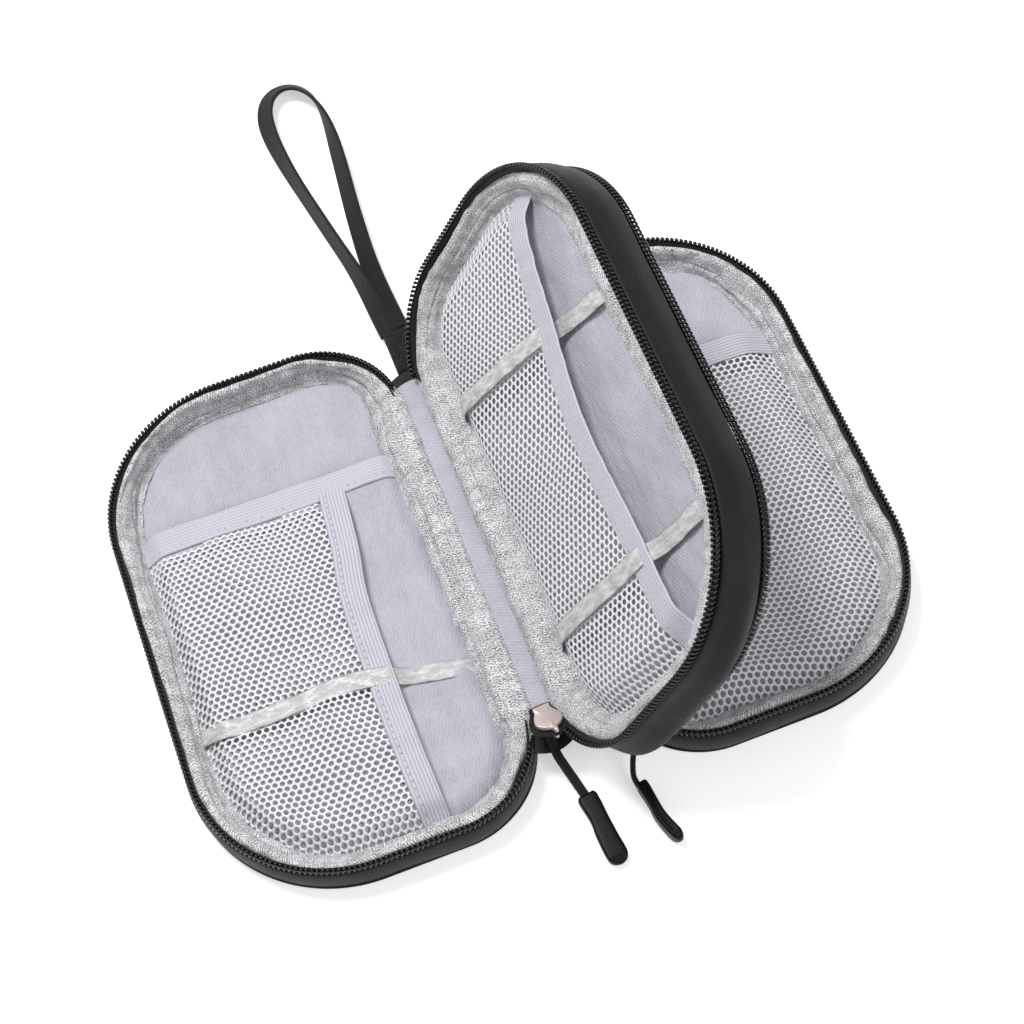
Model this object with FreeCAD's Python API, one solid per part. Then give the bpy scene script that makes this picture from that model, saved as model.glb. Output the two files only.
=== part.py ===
import FreeCAD, Part
import math
import os
from FreeCAD import Vector

# Cable organizer pouch: two zipped covers hinged on a double-sided middle leaf, opened like a book.
# Millimetres. +X runs from the front cover across the spine to the rear cover, +Y along the spine
# towards the wrist strap, +Z up. The origin is the centre of the front cover's flat back.
# A leaf is described in its own frame: u away from the spine, v along the spine, n out of its floor.

LENGTH = 190.0            # along the spine
WIDTH = 110.0             # of one leaf, from the spine side to the outer side
SPINE_CORNER = 32.0       # radius of a leaf's corners beside the spine
OUTER_CORNER = 50.0       # radius of its outer corners
COVER_WALL = 11.0         # height of a cover's gusset
LEAF_WALL = 14.0          # depth of the middle leaf's gusset
SPINE_STRIP = 8.5         # width of each fabric strip of the spine
LEAF_ANGLE = 57.0         # the middle leaf leans this far up from the table
STRIP_ANGLE = 12.0        # slope of the front spine strip at rest

FABRIC = 1.6              # gusset and back panel
FOAM = 1.4                # stiffening board
LINING = 0.4
PADDING = 2.2             # padded lining of the walls
MESH = 0.4
TRIM = 0.7                # elastic edging
RIBBON = 0.4
RIBBON_WIDTH = 6.5
TRIM_WIDTH = 9.4

ZIP_HALF = 2.5            # from the top of the gusset to the centre of its zipper coil
COIL_RADIUS = 0.9
COIL_INSET = 1.0          # coil centre, in from the gusset's outer face
TAPE = 0.8
STRIP_HALF_LENGTH = 64.0
COIL_START = 8.0          # degrees past the straight spine edge
FRONT_SLIDER_AT = 13.0    # degrees round the spine corner, at rest
REAR_SLIDER_AT = 42.0
PARKED_LENGTH = 12.0      # the covers' coils start this many degrees past the parked sliders
RUNNING_GAP = 0.35        # clearance of the parts that turn or slide

FLOOR = FABRIC + FOAM + LINING            # top of a cover's lining
INSIDE = FABRIC + PADDING                 # inset of the padded wall's inner face
CORNER_V = LENGTH / 2 - SPINE_CORNER      # centres of the rounded corners
OUTER_V = LENGTH / 2 - OUTER_CORNER
COIL_ARC = SPINE_CORNER - COIL_INSET      # radius of the coil around a spine corner
Y_AXIS = Vector(0, 1, 0)
Z_AXIS = Vector(0, 0, 1)


def polar(length, degrees):
    """A step in the XZ plane, at an angle up from +X."""
    turn = math.radians(degrees)
    return Vector(length * math.cos(turn), 0, length * math.sin(turn))


# The spine's four fold lines, seen from the end.
LEAF_NORMAL = polar(1, LEAF_ANGLE + 90)
LEAF_ALONG = polar(1, LEAF_ANGLE)
SPINE_EDGE = Vector(WIDTH / 2, 0, 0)
FOLD_1 = SPINE_EDGE + Vector(0, 0, COVER_WALL)
FOLD_2 = FOLD_1 + polar(SPINE_STRIP, STRIP_ANGLE)
FOLD_3 = FOLD_2 - LEAF_NORMAL * LEAF_WALL
REAR_RISE = COVER_WALL - FOLD_3.z
REAR_STRIP_ANGLE = math.degrees(math.asin(REAR_RISE / SPINE_STRIP))
FOLD_4 = FOLD_3 + polar(SPINE_STRIP, REAR_STRIP_ANGLE)
LEAF_MIDDLE = FOLD_2 - LEAF_NORMAL * (LEAF_WALL / 2)
REAR_EDGE = Vector(FOLD_4.x, 0, 0)


# ---------------------------------------------------------------- outlines in a leaf's own frame

def corner_point(u, v, radius, degrees):
    turn = math.radians(degrees)
    return Vector(u + radius * math.cos(turn), v + radius * math.sin(turn), 0)


def corner_arc(u, v, radius, start, end):
    ends = [corner_point(u, v, radius, angle) for angle in (start, (start + end) / 2, end)]
    return Part.Arc(*ends).toShape()


def rim_edges(inset, first=0.0, last=0.0):
    """The leaf's outline without its spine edge, from one spine corner round to the other."""
    inner = SPINE_CORNER - inset
    outer = OUTER_CORNER - inset
    far = WIDTH - OUTER_CORNER
    edges = [corner_arc(SPINE_CORNER, -CORNER_V, inner, 180 + first, 270)]
    edges.append(corner_arc(far, -OUTER_V, outer, 270, 360))
    edges.append(corner_arc(far, OUTER_V, outer, 0, 90))
    edges.append(corner_arc(SPINE_CORNER, CORNER_V, inner, 90, 180 - last))
    path = []
    for edge, following in zip(edges, edges[1:]):
        path.append(edge)
        path.append(Part.LineSegment(edge.Vertexes[-1].Point, following.Vertexes[0].Point).toShape())
    path.append(edges[-1])
    return path


def outline(inset):
    edges = rim_edges(inset)
    closing = Part.LineSegment(edges[-1].Vertexes[-1].Point, edges[0].Vertexes[0].Point).toShape()
    return Part.Face(Part.Wire(edges + [closing]))


def slab(inset, bottom, top):
    face = outline(inset)
    face.translate(Vector(0, 0, bottom))
    return face.extrude(Vector(0, 0, top - bottom))


def ring(outside, inside, bottom, top):
    return slab(outside, bottom, top).cut(slab(inside, bottom, top))


def block(u, v, n):
    """A box from three (low, high) pairs."""
    return Part.makeBox(u[1] - u[0], v[1] - v[0], n[1] - n[0], Vector(u[0], v[0], n[0]))


def region(inset, height, v_top=None):
    """The leaf's outline at a height, cut straight across at v_top."""
    face = outline(inset)
    if v_top is not None:
        reach = LENGTH
        cutter = Part.makePlane(2 * reach, reach + v_top, Vector(-reach, -reach, 0))
        face = face.common(cutter).Faces[0]
    face.translate(Vector(0, 0, height))
    return face.OuterWire


def pillow(inset, low, high, slope, v_top=None):
    """A low block whose sides slope in: the shape of a pocket that bulges over what it holds."""
    inner_top = None if v_top is None else v_top - slope
    base = region(inset, low, v_top)
    crown = region(inset + slope, high, inner_top)
    return Part.makeLoft([base, crown], True, True)


def layer(inset, low, high, slope, thickness, v_top=None):
    """The skin of a pillow."""
    outer = pillow(inset, low, high, slope, v_top)
    under = None if v_top is None else v_top - thickness
    return outer.cut(pillow(inset + thickness, low, high - thickness, slope, under))


# ---------------------------------------------------------------- pieces shared by the leaves

def zip_tape(bottom, top):
    tape = ring(COIL_INSET - TAPE / 2, COIL_INSET + TAPE / 2, bottom, top)
    start = CORNER_V + COIL_ARC * math.sin(math.radians(COIL_START))
    return tape.cut(block((-1, SPINE_CORNER), (-start, start), (bottom - 1, top + 1)))


def zip_coil(height, first=COIL_START):
    edges = rim_edges(COIL_INSET, first, COIL_START)
    path = Part.Wire(edges)
    path.translate(Vector(0, 0, height))
    start = path.Edges[0].valueAt(path.Edges[0].FirstParameter)
    heading = path.Edges[0].tangentAt(path.Edges[0].FirstParameter)
    section = Part.Wire(Part.makeCircle(COIL_RADIUS, start, heading))
    return path.makePipeShell([section], True, False)


def ribbon(start, end, foot, top, rise_start, rise_end):
    """A flat ribbon from wall to wall over a pocket: (u, v) ends, height at its feet and on top."""
    run = math.hypot(end[0] - start[0], end[1] - start[1])
    heights = [(-4, foot - 2), (0, foot), (rise_start, top), (run - rise_end, top), (run, foot), (run + 4, foot - 2)]
    under = [Vector(s, 0, n) for s, n in heights]
    over = [Vector(s, 0, n + RIBBON) for s, n in reversed(heights)]
    corners = under + over
    face = Part.Face(Part.makePolygon(corners + corners[:1]))
    band = face.extrude(Vector(0, RIBBON_WIDTH, 0))
    band.translate(Vector(0, -RIBBON_WIDTH / 2, 0))
    band.rotate(Vector(0, 0, 0), Z_AXIS, math.degrees(math.atan2(end[1] - start[1], end[0] - start[0])))
    band.translate(Vector(start[0], start[1], 0))
    return band.common(slab(INSIDE + 0.05, foot - 1.6, top + 2))


def turned(shape):
    """From the frame of a leaf that runs towards +X to one that runs towards -X."""
    return shape.mirror(Vector(0, 0, 0), Vector(1, 0, 0))


def on_front(shape):
    placed = turned(shape)
    placed.translate(SPINE_EDGE)
    return placed


def on_rear(shape):
    placed = shape.copy()
    placed.translate(REAR_EDGE)
    return placed


def on_middle(shape):
    placed = shape.copy()
    placed.rotate(Vector(0, 0, 0), Y_AXIS, -LEAF_ANGLE)
    placed.translate(LEAF_MIDDLE)
    return placed


# ---------------------------------------------------------------- the covers

def cover(name, place, slider_at):
    back = slab(0, 0, FABRIC)
    lower_edges = [edge for edge in back.Edges if edge.BoundBox.ZMax < 0.01]
    back = back.makeFillet(FABRIC - 0.3, lower_edges)
    return {
        name + "_back_panel": place(back),
        name + "_foam_board": place(slab(FABRIC + 0.1, FABRIC, FABRIC + FOAM)),
        name + "_lining": place(slab(FABRIC + 0.1, FABRIC + FOAM, FLOOR)),
        name + "_gusset": place(ring(0, FABRIC, FABRIC, COVER_WALL)),
        name + "_wall_lining": place(ring(FABRIC, INSIDE, FLOOR, COVER_WALL)),
        name + "_zip_tape": place(zip_tape(COVER_WALL, COVER_WALL + ZIP_HALF - COIL_RADIUS)),
        name + "_zip_coil": place(zip_coil(COVER_WALL + ZIP_HALF, slider_at + PARKED_LENGTH)),
    }


PANEL_TOP = 8.2           # the front cover's fabric pocket
PANEL = 0.6
PANEL_SLOPE = 5.0
PANEL_MOUTH = 47.0
FRONT_MESH_TOP = 12.9     # the mesh pocket over it
FRONT_MESH_SLOPE = 5.6
FRONT_MESH_SIDE = 35.0    # u of its mouth, which faces the spine
REAR_MESH_TOP = 11.0
REAR_MESH_SLOPE = 8.0
REAR_MOUTH = 44.0


def front_pockets():
    mouth = (-LENGTH, PANEL_MOUTH)
    trim_line = PANEL_MOUTH - TRIM_WIDTH
    wide = (-10, WIDTH + 10)
    deep = (0, 30)
    panel = layer(INSIDE + TRIM, FLOOR, PANEL_TOP, PANEL_SLOPE, PANEL)
    top_trim = layer(INSIDE, FLOOR, PANEL_TOP + TRIM, PANEL_SLOPE, TRIM)
    top_trim = top_trim.cut(pillow(INSIDE + TRIM, FLOOR, PANEL_TOP, PANEL_SLOPE))
    mesh = layer(INSIDE + TRIM, PANEL_TOP, FRONT_MESH_TOP, FRONT_MESH_SLOPE, MESH, trim_line - TRIM)
    side_trim = layer(INSIDE, PANEL_TOP, FRONT_MESH_TOP + TRIM, FRONT_MESH_SLOPE, TRIM, trim_line)
    side_trim = side_trim.cut(pillow(INSIDE + TRIM, PANEL_TOP, FRONT_MESH_TOP, FRONT_MESH_SLOPE, trim_line - TRIM))
    side = (FRONT_MESH_SIDE, FRONT_MESH_SIDE + TRIM_WIDTH)
    band = ribbon((INSIDE, -40.0), (WIDTH - INSIDE, -29.0), 9.7, FRONT_MESH_TOP + TRIM + 0.3, 30.0, 8.0)
    return {
        "front_pocket_panel": on_front(panel.common(block(wide, mouth, deep))),
        "front_pocket_trim": on_front(top_trim.common(block(wide, (trim_line, PANEL_MOUTH), deep))),
        "front_mesh_pocket": on_front(mesh.common(block((FRONT_MESH_SIDE, WIDTH), (-LENGTH, LENGTH), deep))),
        "front_mesh_trim": on_front(side_trim.common(block(side, (-LENGTH, LENGTH), deep))),
        "front_ribbon": on_front(band),
    }


def rear_pocket():
    mesh = layer(INSIDE + TRIM, FLOOR, REAR_MESH_TOP, REAR_MESH_SLOPE, MESH)
    trim = layer(INSIDE, FLOOR, REAR_MESH_TOP + TRIM, REAR_MESH_SLOPE, TRIM)
    trim = trim.cut(pillow(INSIDE + TRIM, FLOOR, REAR_MESH_TOP, REAR_MESH_SLOPE))
    wide = (-10, WIDTH + 10)
    deep = (0, 30)
    return {
        "rear_mesh_pocket": on_rear(mesh.common(block(wide, (-LENGTH, REAR_MOUTH), deep))),
        "rear_mesh_trim": on_rear(trim.common(block(wide, (REAR_MOUTH - TRIM_WIDTH, REAR_MOUTH), deep))),
    }


# ---------------------------------------------------------------- the middle leaf

BOARD = 1.6
LEAF_FLOOR = BOARD / 2 + 0.3
LEAF_MESH_TOP = 8.0
LEAF_MESH_SLOPE = 8.0
TRIM_CURVE = ((70.5, -100.0), (65.0, -25.0), (86.0, 95.0))    # (u, v) middle line of the long elastic


def curve_edge(shift):
    return Part.Arc(*[Vector(u + shift, v, 0) for u, v in TRIM_CURVE]).toShape()


def curve_prism(low_shift, high_shift):
    """The part of the leaf between two curves parallel to the long elastic."""
    near = curve_edge(low_shift)
    far = curve_edge(high_shift)
    ends = [Part.LineSegment(near.Vertexes[i].Point, far.Vertexes[i].Point).toShape() for i in (0, 1)]
    face = Part.Face(Part.Wire(Part.__sortEdges__([near, far] + ends)))
    return face.extrude(Vector(0, 0, 30))


def middle_pocket():
    mesh = layer(INSIDE + TRIM, LEAF_FLOOR, LEAF_MESH_TOP, LEAF_MESH_SLOPE, MESH)
    trim = layer(INSIDE, LEAF_FLOOR, LEAF_MESH_TOP + TRIM, LEAF_MESH_SLOPE, TRIM)
    trim = trim.cut(pillow(INSIDE + TRIM, LEAF_FLOOR, LEAF_MESH_TOP, LEAF_MESH_SLOPE))
    half = TRIM_WIDTH / 2
    crown = LEAF_MESH_TOP + TRIM + 0.3
    upper = ribbon((INSIDE, 46.0), (WIDTH - INSIDE, 22.0), 5.5, crown, 7.0, 16.0)
    lower = ribbon((INSIDE, -48.0), (WIDTH - INSIDE, -57.5), 5.5, crown, 7.0, 16.0)
    return {
        "middle_mesh_pocket": on_middle(mesh.common(curve_prism(-WIDTH, half))),
        "middle_mesh_trim": on_middle(trim.common(curve_prism(-half, half))),
        "middle_ribbon_upper": on_middle(upper),
        "middle_ribbon_lower": on_middle(lower),
    }


def middle_leaf():
    half = LEAF_WALL / 2
    tape_top = half + ZIP_HALF - COIL_RADIUS
    return {
        "middle_gusset": on_middle(ring(0, FABRIC, -half, half)),
        "middle_board": on_middle(slab(FABRIC + 0.1, -BOARD / 2, BOARD / 2)),
        "middle_front_lining": on_middle(slab(FABRIC + 0.1, BOARD / 2, LEAF_FLOOR)),
        "middle_rear_lining": on_middle(slab(FABRIC + 0.1, -LEAF_FLOOR, -BOARD / 2)),
        "middle_front_wall_lining": on_middle(ring(FABRIC, INSIDE, LEAF_FLOOR, half)),
        "middle_rear_wall_lining": on_middle(ring(FABRIC, INSIDE, -half, -LEAF_FLOOR)),
        "middle_front_zip_tape": on_middle(zip_tape(half, tape_top)),
        "middle_front_zip_coil": on_middle(zip_coil(half + ZIP_HALF)),
        "middle_rear_zip_tape": on_middle(zip_tape(-tape_top, -half)),
        "middle_rear_zip_coil": on_middle(zip_coil(-half - ZIP_HALF)),
    }


# ---------------------------------------------------------------- the spine

STRIP_FABRIC = 0.4
STRIP_LINING = 0.3
FRONT_STRIP_MARGINS = (0.5, 0.5)      # from its fold lines
REAR_STRIP_MARGINS = (1.7, 0.9)


def strip(start, end, low, high, margins):
    """A flat strip between two fold lines, between two heights above their common plane."""
    along = (end - start).normalize()
    up = along.cross(Y_AXIS)
    if up.z < 0:
        up = up * -1
    width = (end - start).Length - sum(margins)
    corner = start + along * margins[0] - Y_AXIS * STRIP_HALF_LENGTH + up * low
    corners = [corner, corner + along * width]
    corners.append(corners[1] + up * (high - low))
    corners.append(corner + up * (high - low))
    face = Part.Face(Part.makePolygon(corners + corners[:1]))
    return face.extrude(Y_AXIS * (2 * STRIP_HALF_LENGTH))


TAB_WIDTH = 5.4
TAB_THICKNESS = 1.6
TAB_END = 76.0
TAB_END_Z = 6.2
TAB_SHIFT = 0.7           # towards the middle leaf, clear of the front cover's corner


def strap_tab():
    """A doubled tape, from the end of the front strip out and down to the wrist strap's seam."""
    middle = (FOLD_1 + FOLD_2) * 0.5
    top = middle.z - 1.0
    profile = [(STRIP_HALF_LENGTH, top), (69.0, top), (TAB_END, TAB_END_Z)]
    profile += [(TAB_END, TAB_END_Z - TAB_THICKNESS), (68.4, top - TAB_THICKNESS)]
    profile += [(STRIP_HALF_LENGTH, top - TAB_THICKNESS)]
    low_x = middle.x + TAB_SHIFT - TAB_WIDTH / 2
    points = [Vector(low_x, y, z) for y, z in profile]
    face = Part.Face(Part.makePolygon(points + points[:1]))
    return face.extrude(Vector(TAB_WIDTH, 0, 0))


def spine():
    return {
        "front_spine_fabric": strip(FOLD_1, FOLD_2, -STRIP_FABRIC, 0, FRONT_STRIP_MARGINS),
        "front_spine_lining": strip(FOLD_1, FOLD_2, 0, STRIP_LINING, FRONT_STRIP_MARGINS),
        "rear_spine_fabric": strip(FOLD_3, FOLD_4, -STRIP_FABRIC, 0, REAR_STRIP_MARGINS),
        "rear_spine_lining": strip(FOLD_3, FOLD_4, 0, STRIP_LINING, REAR_STRIP_MARGINS),
        "strap_tab": strap_tab(),
    }


# ---------------------------------------------------------------- zipper sliders

SLIDER_PLATE = 0.9
SLIDER_CLEAR = 1.3        # from the coil's centre to each plate
SLIDER_HALF_WIDTH = 3.4
SLIDER_HALF_LENGTH = 4.5
SLIDER_POST = 1.0
SLIDER_LEVEL = LEAF_WALL / 2 + SPINE_STRIP / 2      # midway between the two coils when closed
BRIDGE_WIDTH = 1.6
BRIDGE_HOLE = 1.8
BRIDGE_BAR = 0.8
STRAND = 0.55             # radius of the cord where it passes through the bridge
SHIELD = ((-4.5, 1.5), (-2.6, 3.4), (1.6, 3.4), (3.6, 2.2), (4.5, 0.7))      # (along, half width)


def slider_frame(degrees, level):
    """Centre of a slider on the rim, its direction of travel and its outward normal."""
    turn = math.radians(degrees)
    outward = Vector(-math.cos(turn), -math.sin(turn), 0)
    travel = Vector(math.sin(turn), -math.cos(turn), 0)
    centre = Vector(SPINE_CORNER, -CORNER_V, level) + outward * COIL_ARC
    return centre, travel, outward


def curved_plate(inner_radius, thickness, bottom, top):
    corner = Vector(SPINE_CORNER, -CORNER_V, bottom)
    outer = Part.makeCylinder(inner_radius + thickness, top - bottom, corner)
    return outer.cut(Part.makeCylinder(inner_radius, top - bottom, corner))


def prism(centre, travel, outward, outline_points, low, high):
    """A shape drawn on (travel, level) coordinates, from low to high along the outward normal."""
    points = [centre + travel * s + Z_AXIS * n + outward * low for s, n in outline_points]
    face = Part.Face(Part.makePolygon(points + points[:1]))
    return face.extrude(outward * (high - low))


def slider_body(degrees, level):
    centre, travel, outward = slider_frame(degrees, level)
    low = level - SLIDER_HALF_WIDTH
    high = level + SLIDER_HALF_WIDTH
    plates = curved_plate(COIL_ARC - SLIDER_CLEAR - SLIDER_PLATE, SLIDER_PLATE, low, high)
    plates = plates.fuse(curved_plate(COIL_ARC + SLIDER_CLEAR, SLIDER_PLATE, low, high))
    shield = list(SHIELD) + [(s, -n) for s, n in reversed(SHIELD)]
    plates = plates.common(prism(centre, travel, outward, shield, -8, 8))
    post_outline = [(0.5, SLIDER_POST / 2), (3.5, SLIDER_POST / 2), (3.5, -SLIDER_POST / 2), (0.5, -SLIDER_POST / 2)]
    post = prism(centre, travel, outward, post_outline, -SLIDER_CLEAR - 0.4, SLIDER_CLEAR + 0.4)
    side = BRIDGE_WIDTH / 2
    face = SLIDER_CLEAR + SLIDER_PLATE
    foot = [(-2.9, side), (2.9, side), (2.9, -side), (-2.9, -side)]
    hole = [(-2.0, 2 * side), (2.0, 2 * side), (2.0, -2 * side), (-2.0, -2 * side)]
    bridge = prism(centre, travel, outward, foot, face - 0.5, face + BRIDGE_HOLE + BRIDGE_BAR)
    bridge = bridge.cut(prism(centre, travel, outward, hole, face, face + BRIDGE_HOLE))
    return plates.fuse(post).fuse(bridge).removeSplitter()


def bridge_point(degrees, level):
    """Middle of the hole in the slider's bridge."""
    centre, travel, outward = slider_frame(degrees, level)
    return centre + outward * (SLIDER_CLEAR + SLIDER_PLATE + BRIDGE_HOLE / 2)


def leaf_to_world(point):
    return LEAF_MIDDLE + LEAF_ALONG * point.x + Y_AXIS * point.y + LEAF_NORMAL * point.z


# ---------------------------------------------------------------- cords and the wrist strap

def rounded_route(name, points):
    """Straight runs joined by tangent arcs, each as large as its two runs allow."""
    arcs = []
    radii = []
    for before, here, after in zip(points, points[1:], points[2:]):
        arrive = here - before
        leave = after - here
        turn = arrive.getAngle(leave)
        trim = 0.45 * min(arrive.Length, leave.Length)
        radii.append(round(trim / math.tan(turn / 2), 1))
        arrive.normalize()
        leave.normalize()
        bisector = (leave - arrive).normalize()
        sagitta = trim / math.tan(turn / 2) * (1 / math.cos(turn / 2) - 1)
        arcs.append((here - arrive * trim, here + bisector * sagitta, here + leave * trim))
    edges = []
    start = points[0]
    for first, middle, last in arcs:
        edges.append(Part.LineSegment(start, first).toShape())
        edges.append(Part.Arc(first, middle, last).toShape())
        start = last
    edges.append(Part.LineSegment(start, points[-1]).toShape())
    path = Part.Wire(edges)
    print(name, "radii", radii, "length", round(path.Length, 1))
    return path


def tube(name, points, radius):
    path = rounded_route(name, points)
    section = Part.Wire(Part.makeCircle(radius, points[0], points[1] - points[0]))
    return path.makePipeShell([section], True, False)


def flat_band(name, points, width, height):
    """A band with a rectangular section along a level route."""
    path = rounded_route(name, points)
    across = (points[1] - points[0]).normalize().cross(Z_AXIS) * (width / 2)
    rise = Z_AXIS * (height / 2)
    corners = [across + rise, across - rise, -across - rise, -across + rise]
    corners = [points[0] + corner for corner in corners]
    sweep = Part.BRepOffsetAPI.MakePipeShell(path)
    sweep.setBiNormalMode(Z_AXIS)
    sweep.add(Part.makePolygon(corners + corners[:1]))
    sweep.build()
    sweep.makeSolid()
    return sweep.shape()


CORD_RADIUS = 1.5
RING_RADIUS = 2.4         # the cord's small loop through the slider's bridge
FRONT_CORD = ((57.8, -77.6, 9.2), (60.4, -84.6, 5.6), (62.6, -91.6, 3.2), (63.6, -100.0, 2.3), (63.0, -114.0, 2.3))
REAR_CORD = ((80.2, -92.4, 5.4), (79.8, -98.6, 3.6), (80.9, -105.0, 3.5), (82.2, -114.0, 3.5))
FRONT_GRIP = ((63.3, -93.2, 2.3), (63.4, -101.5, 2.3), (62.6, -109.5, 2.3), (63.6, -118.6, 2.3))
REAR_GRIP = ((79.9, -97.0, 3.5), (81.0, -104.0, 3.5), (81.4, -111.0, 3.5), (84.8, -119.0, 3.5))
GRIP_WIDE = 6.4
GRIP_THIN = 3.8


def pull_loop(pivot, toward):
    """The small loop that passes through the slider's bridge."""
    heading = (toward - pivot).normalize()
    sideways = LEAF_NORMAL - heading * LEAF_NORMAL.dot(heading)
    axis = heading.cross(sideways.normalize())
    centre = pivot + heading * RING_RADIUS
    return Part.makeTorus(RING_RADIUS, STRAND, centre, axis), pivot + heading * (2 * RING_RADIUS - 0.3)


def pull(name, pivot, route, grip_route, grip_width, grip_height):
    points = [Vector(*point) for point in route]
    loop, start = pull_loop(pivot, points[0])
    cord = tube(name + " cord", [start] + points, CORD_RADIUS)
    cord = cord.fuse(loop).removeSplitter()
    bar = flat_band(name + " grip", [Vector(*point) for point in grip_route], grip_width, grip_height)
    end_edges = [edge for edge in bar.Edges if abs(edge.CenterOfMass.y - grip_route[-1][1]) < 2 and
                 edge.BoundBox.YLength < 2]
    bar = bar.makeFillet(min(grip_width, grip_height) * 0.4, end_edges)
    return cord, bar.cut(cord)


STRAP_WIDTH = 8.0
STRAP_THICKNESS = 1.6
STRAP_Z = 4.2
STRAP_ROUTE = ((64.0, 97.0), (62.7, 119.0), (64.8, 151.0), (68.6, 184.0), (69.4, 202.0), (67.5, 213.0), (62.4, 219.4),
               (55.4, 220.2), (49.6, 215.0), (46.9, 204.6), (48.2, 185.0), (53.4, 153.0), (58.9, 122.0), (60.9, 97.0))
SEAM_BLOCK = ((57.9, 67.1), (TAB_END + 2.2, 96.85), (2.2, 6.2))


def wrist_strap():
    route = [Vector(x, y, STRAP_Z) for x, y in STRAP_ROUTE]
    stitched = block(*SEAM_BLOCK)
    upright = [edge for edge in stitched.Edges if edge.BoundBox.ZLength > 1]
    return {
        "strap_webbing": flat_band("strap", route, STRAP_THICKNESS, STRAP_WIDTH),
        "strap_stitch_block": stitched.makeFillet(1.2, upright),
    }


def sliders():
    pieces = {}
    for name, at, level, route, grip_route, size in (
            ("front", FRONT_SLIDER_AT, SLIDER_LEVEL, FRONT_CORD, FRONT_GRIP, (GRIP_WIDE, GRIP_THIN)),
            ("rear", REAR_SLIDER_AT, -SLIDER_LEVEL, REAR_CORD, REAR_GRIP, (GRIP_THIN, GRIP_WIDE))):
        pivot = leaf_to_world(bridge_point(at, level))
        cord, grip = pull(name, pivot, route, grip_route, *size)
        pieces[name + "_slider_body"] = on_middle(slider_body(at, level))
        pieces[name + "_pull_cord"] = cord
        pieces[name + "_pull_grip"] = grip
        print(name, "pivot", [round(value, 3) for value in pivot])
    return pieces


def main():
    os.makedirs("parts", exist_ok=True)
    pieces = {}
    pieces.update(cover("front", on_front, FRONT_SLIDER_AT))
    pieces.update(front_pockets())
    pieces.update(cover("rear", on_rear, REAR_SLIDER_AT))
    pieces.update(rear_pocket())
    pieces.update(middle_leaf())
    pieces.update(middle_pocket())
    pieces.update(spine())
    pieces.update(sliders())
    pieces.update(wrist_strap())
    for name, shape in pieces.items():
        if not shape.isValid():
            print("invalid shape:", name)
        print(name, "solids", len(shape.Solids), "volume", round(shape.Volume, 1))
        shape.exportStep("parts/" + name + ".step")


main()
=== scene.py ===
"""Looks of the cable organizer pouch, built round the CAD frame.

Leaves are made in their own frame, in millimetres: u away from the spine, v along the spine and n out of the
floor. World places are in metres, in the part's frame.
"""
import math

import bpy
import numpy as np
from mathutils import Matrix, Vector


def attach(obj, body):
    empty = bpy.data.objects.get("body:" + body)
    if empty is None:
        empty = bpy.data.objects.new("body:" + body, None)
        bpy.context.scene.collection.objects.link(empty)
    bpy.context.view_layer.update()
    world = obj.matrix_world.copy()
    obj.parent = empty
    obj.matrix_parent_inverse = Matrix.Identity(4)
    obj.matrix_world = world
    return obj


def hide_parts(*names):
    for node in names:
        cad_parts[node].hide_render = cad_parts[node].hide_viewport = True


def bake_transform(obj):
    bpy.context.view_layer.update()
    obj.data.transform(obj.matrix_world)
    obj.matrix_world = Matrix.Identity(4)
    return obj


MM = 0.001
TURN = 2 * math.pi

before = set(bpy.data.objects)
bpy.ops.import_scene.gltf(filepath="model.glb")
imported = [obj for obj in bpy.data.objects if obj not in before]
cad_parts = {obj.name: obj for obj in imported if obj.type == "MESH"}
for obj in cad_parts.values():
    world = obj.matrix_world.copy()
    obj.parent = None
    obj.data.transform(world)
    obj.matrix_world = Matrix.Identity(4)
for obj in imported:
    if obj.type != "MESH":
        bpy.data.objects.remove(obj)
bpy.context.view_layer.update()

# ------------------------------------------------------------------ driving dimensions, in millimetres

LENGTH = 190.0
WIDTH = 110.0
SPINE_CORNER = 32.0
OUTER_CORNER = 50.0
COVER_WALL = 11.0
LEAF_WALL = 14.0
SPINE_STRIP = 8.5
LEAF_ANGLE = 57.0
STRIP_ANGLE = 12.0
COVER_FLOOR = 3.4
LEAF_FLOOR = 1.1
ZIP_HALF = 2.5
COIL_INSET = 1.0
COIL_START = 8.0            # degrees past the straight spine edge
FRONT_SLIDER_AT = 13.0      # degrees round the spine corner
REAR_SLIDER_AT = 42.0
PARKED_LENGTH = 12.0        # degrees that a parked slider takes up
EDGING = 9.4                # width of the elastic edgings
RIBBON = 6.5

CORNER_V = LENGTH / 2 - SPINE_CORNER
OUTER_V = LENGTH / 2 - OUTER_CORNER
FAR_U = WIDTH - OUTER_CORNER


def polar(length, degrees):
    turn = math.radians(degrees)
    return np.array([length * math.cos(turn), 0.0, length * math.sin(turn)])


LEAF_ALONG = polar(1, LEAF_ANGLE)
LEAF_NORMAL = polar(1, LEAF_ANGLE + 90)
SPINE_EDGE = np.array([WIDTH / 2, 0.0, 0.0])
FOLD_1 = SPINE_EDGE + [0, 0, COVER_WALL]
FOLD_2 = FOLD_1 + polar(SPINE_STRIP, STRIP_ANGLE)
FOLD_3 = FOLD_2 - LEAF_NORMAL * LEAF_WALL
REAR_STRIP_ANGLE = math.degrees(math.asin((COVER_WALL - FOLD_3[2]) / SPINE_STRIP))
FOLD_4 = FOLD_3 + polar(SPINE_STRIP, REAR_STRIP_ANGLE)
Y_AXIS = np.array([0.0, 1.0, 0.0])
Z_AXIS = np.array([0.0, 0.0, 1.0])

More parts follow.
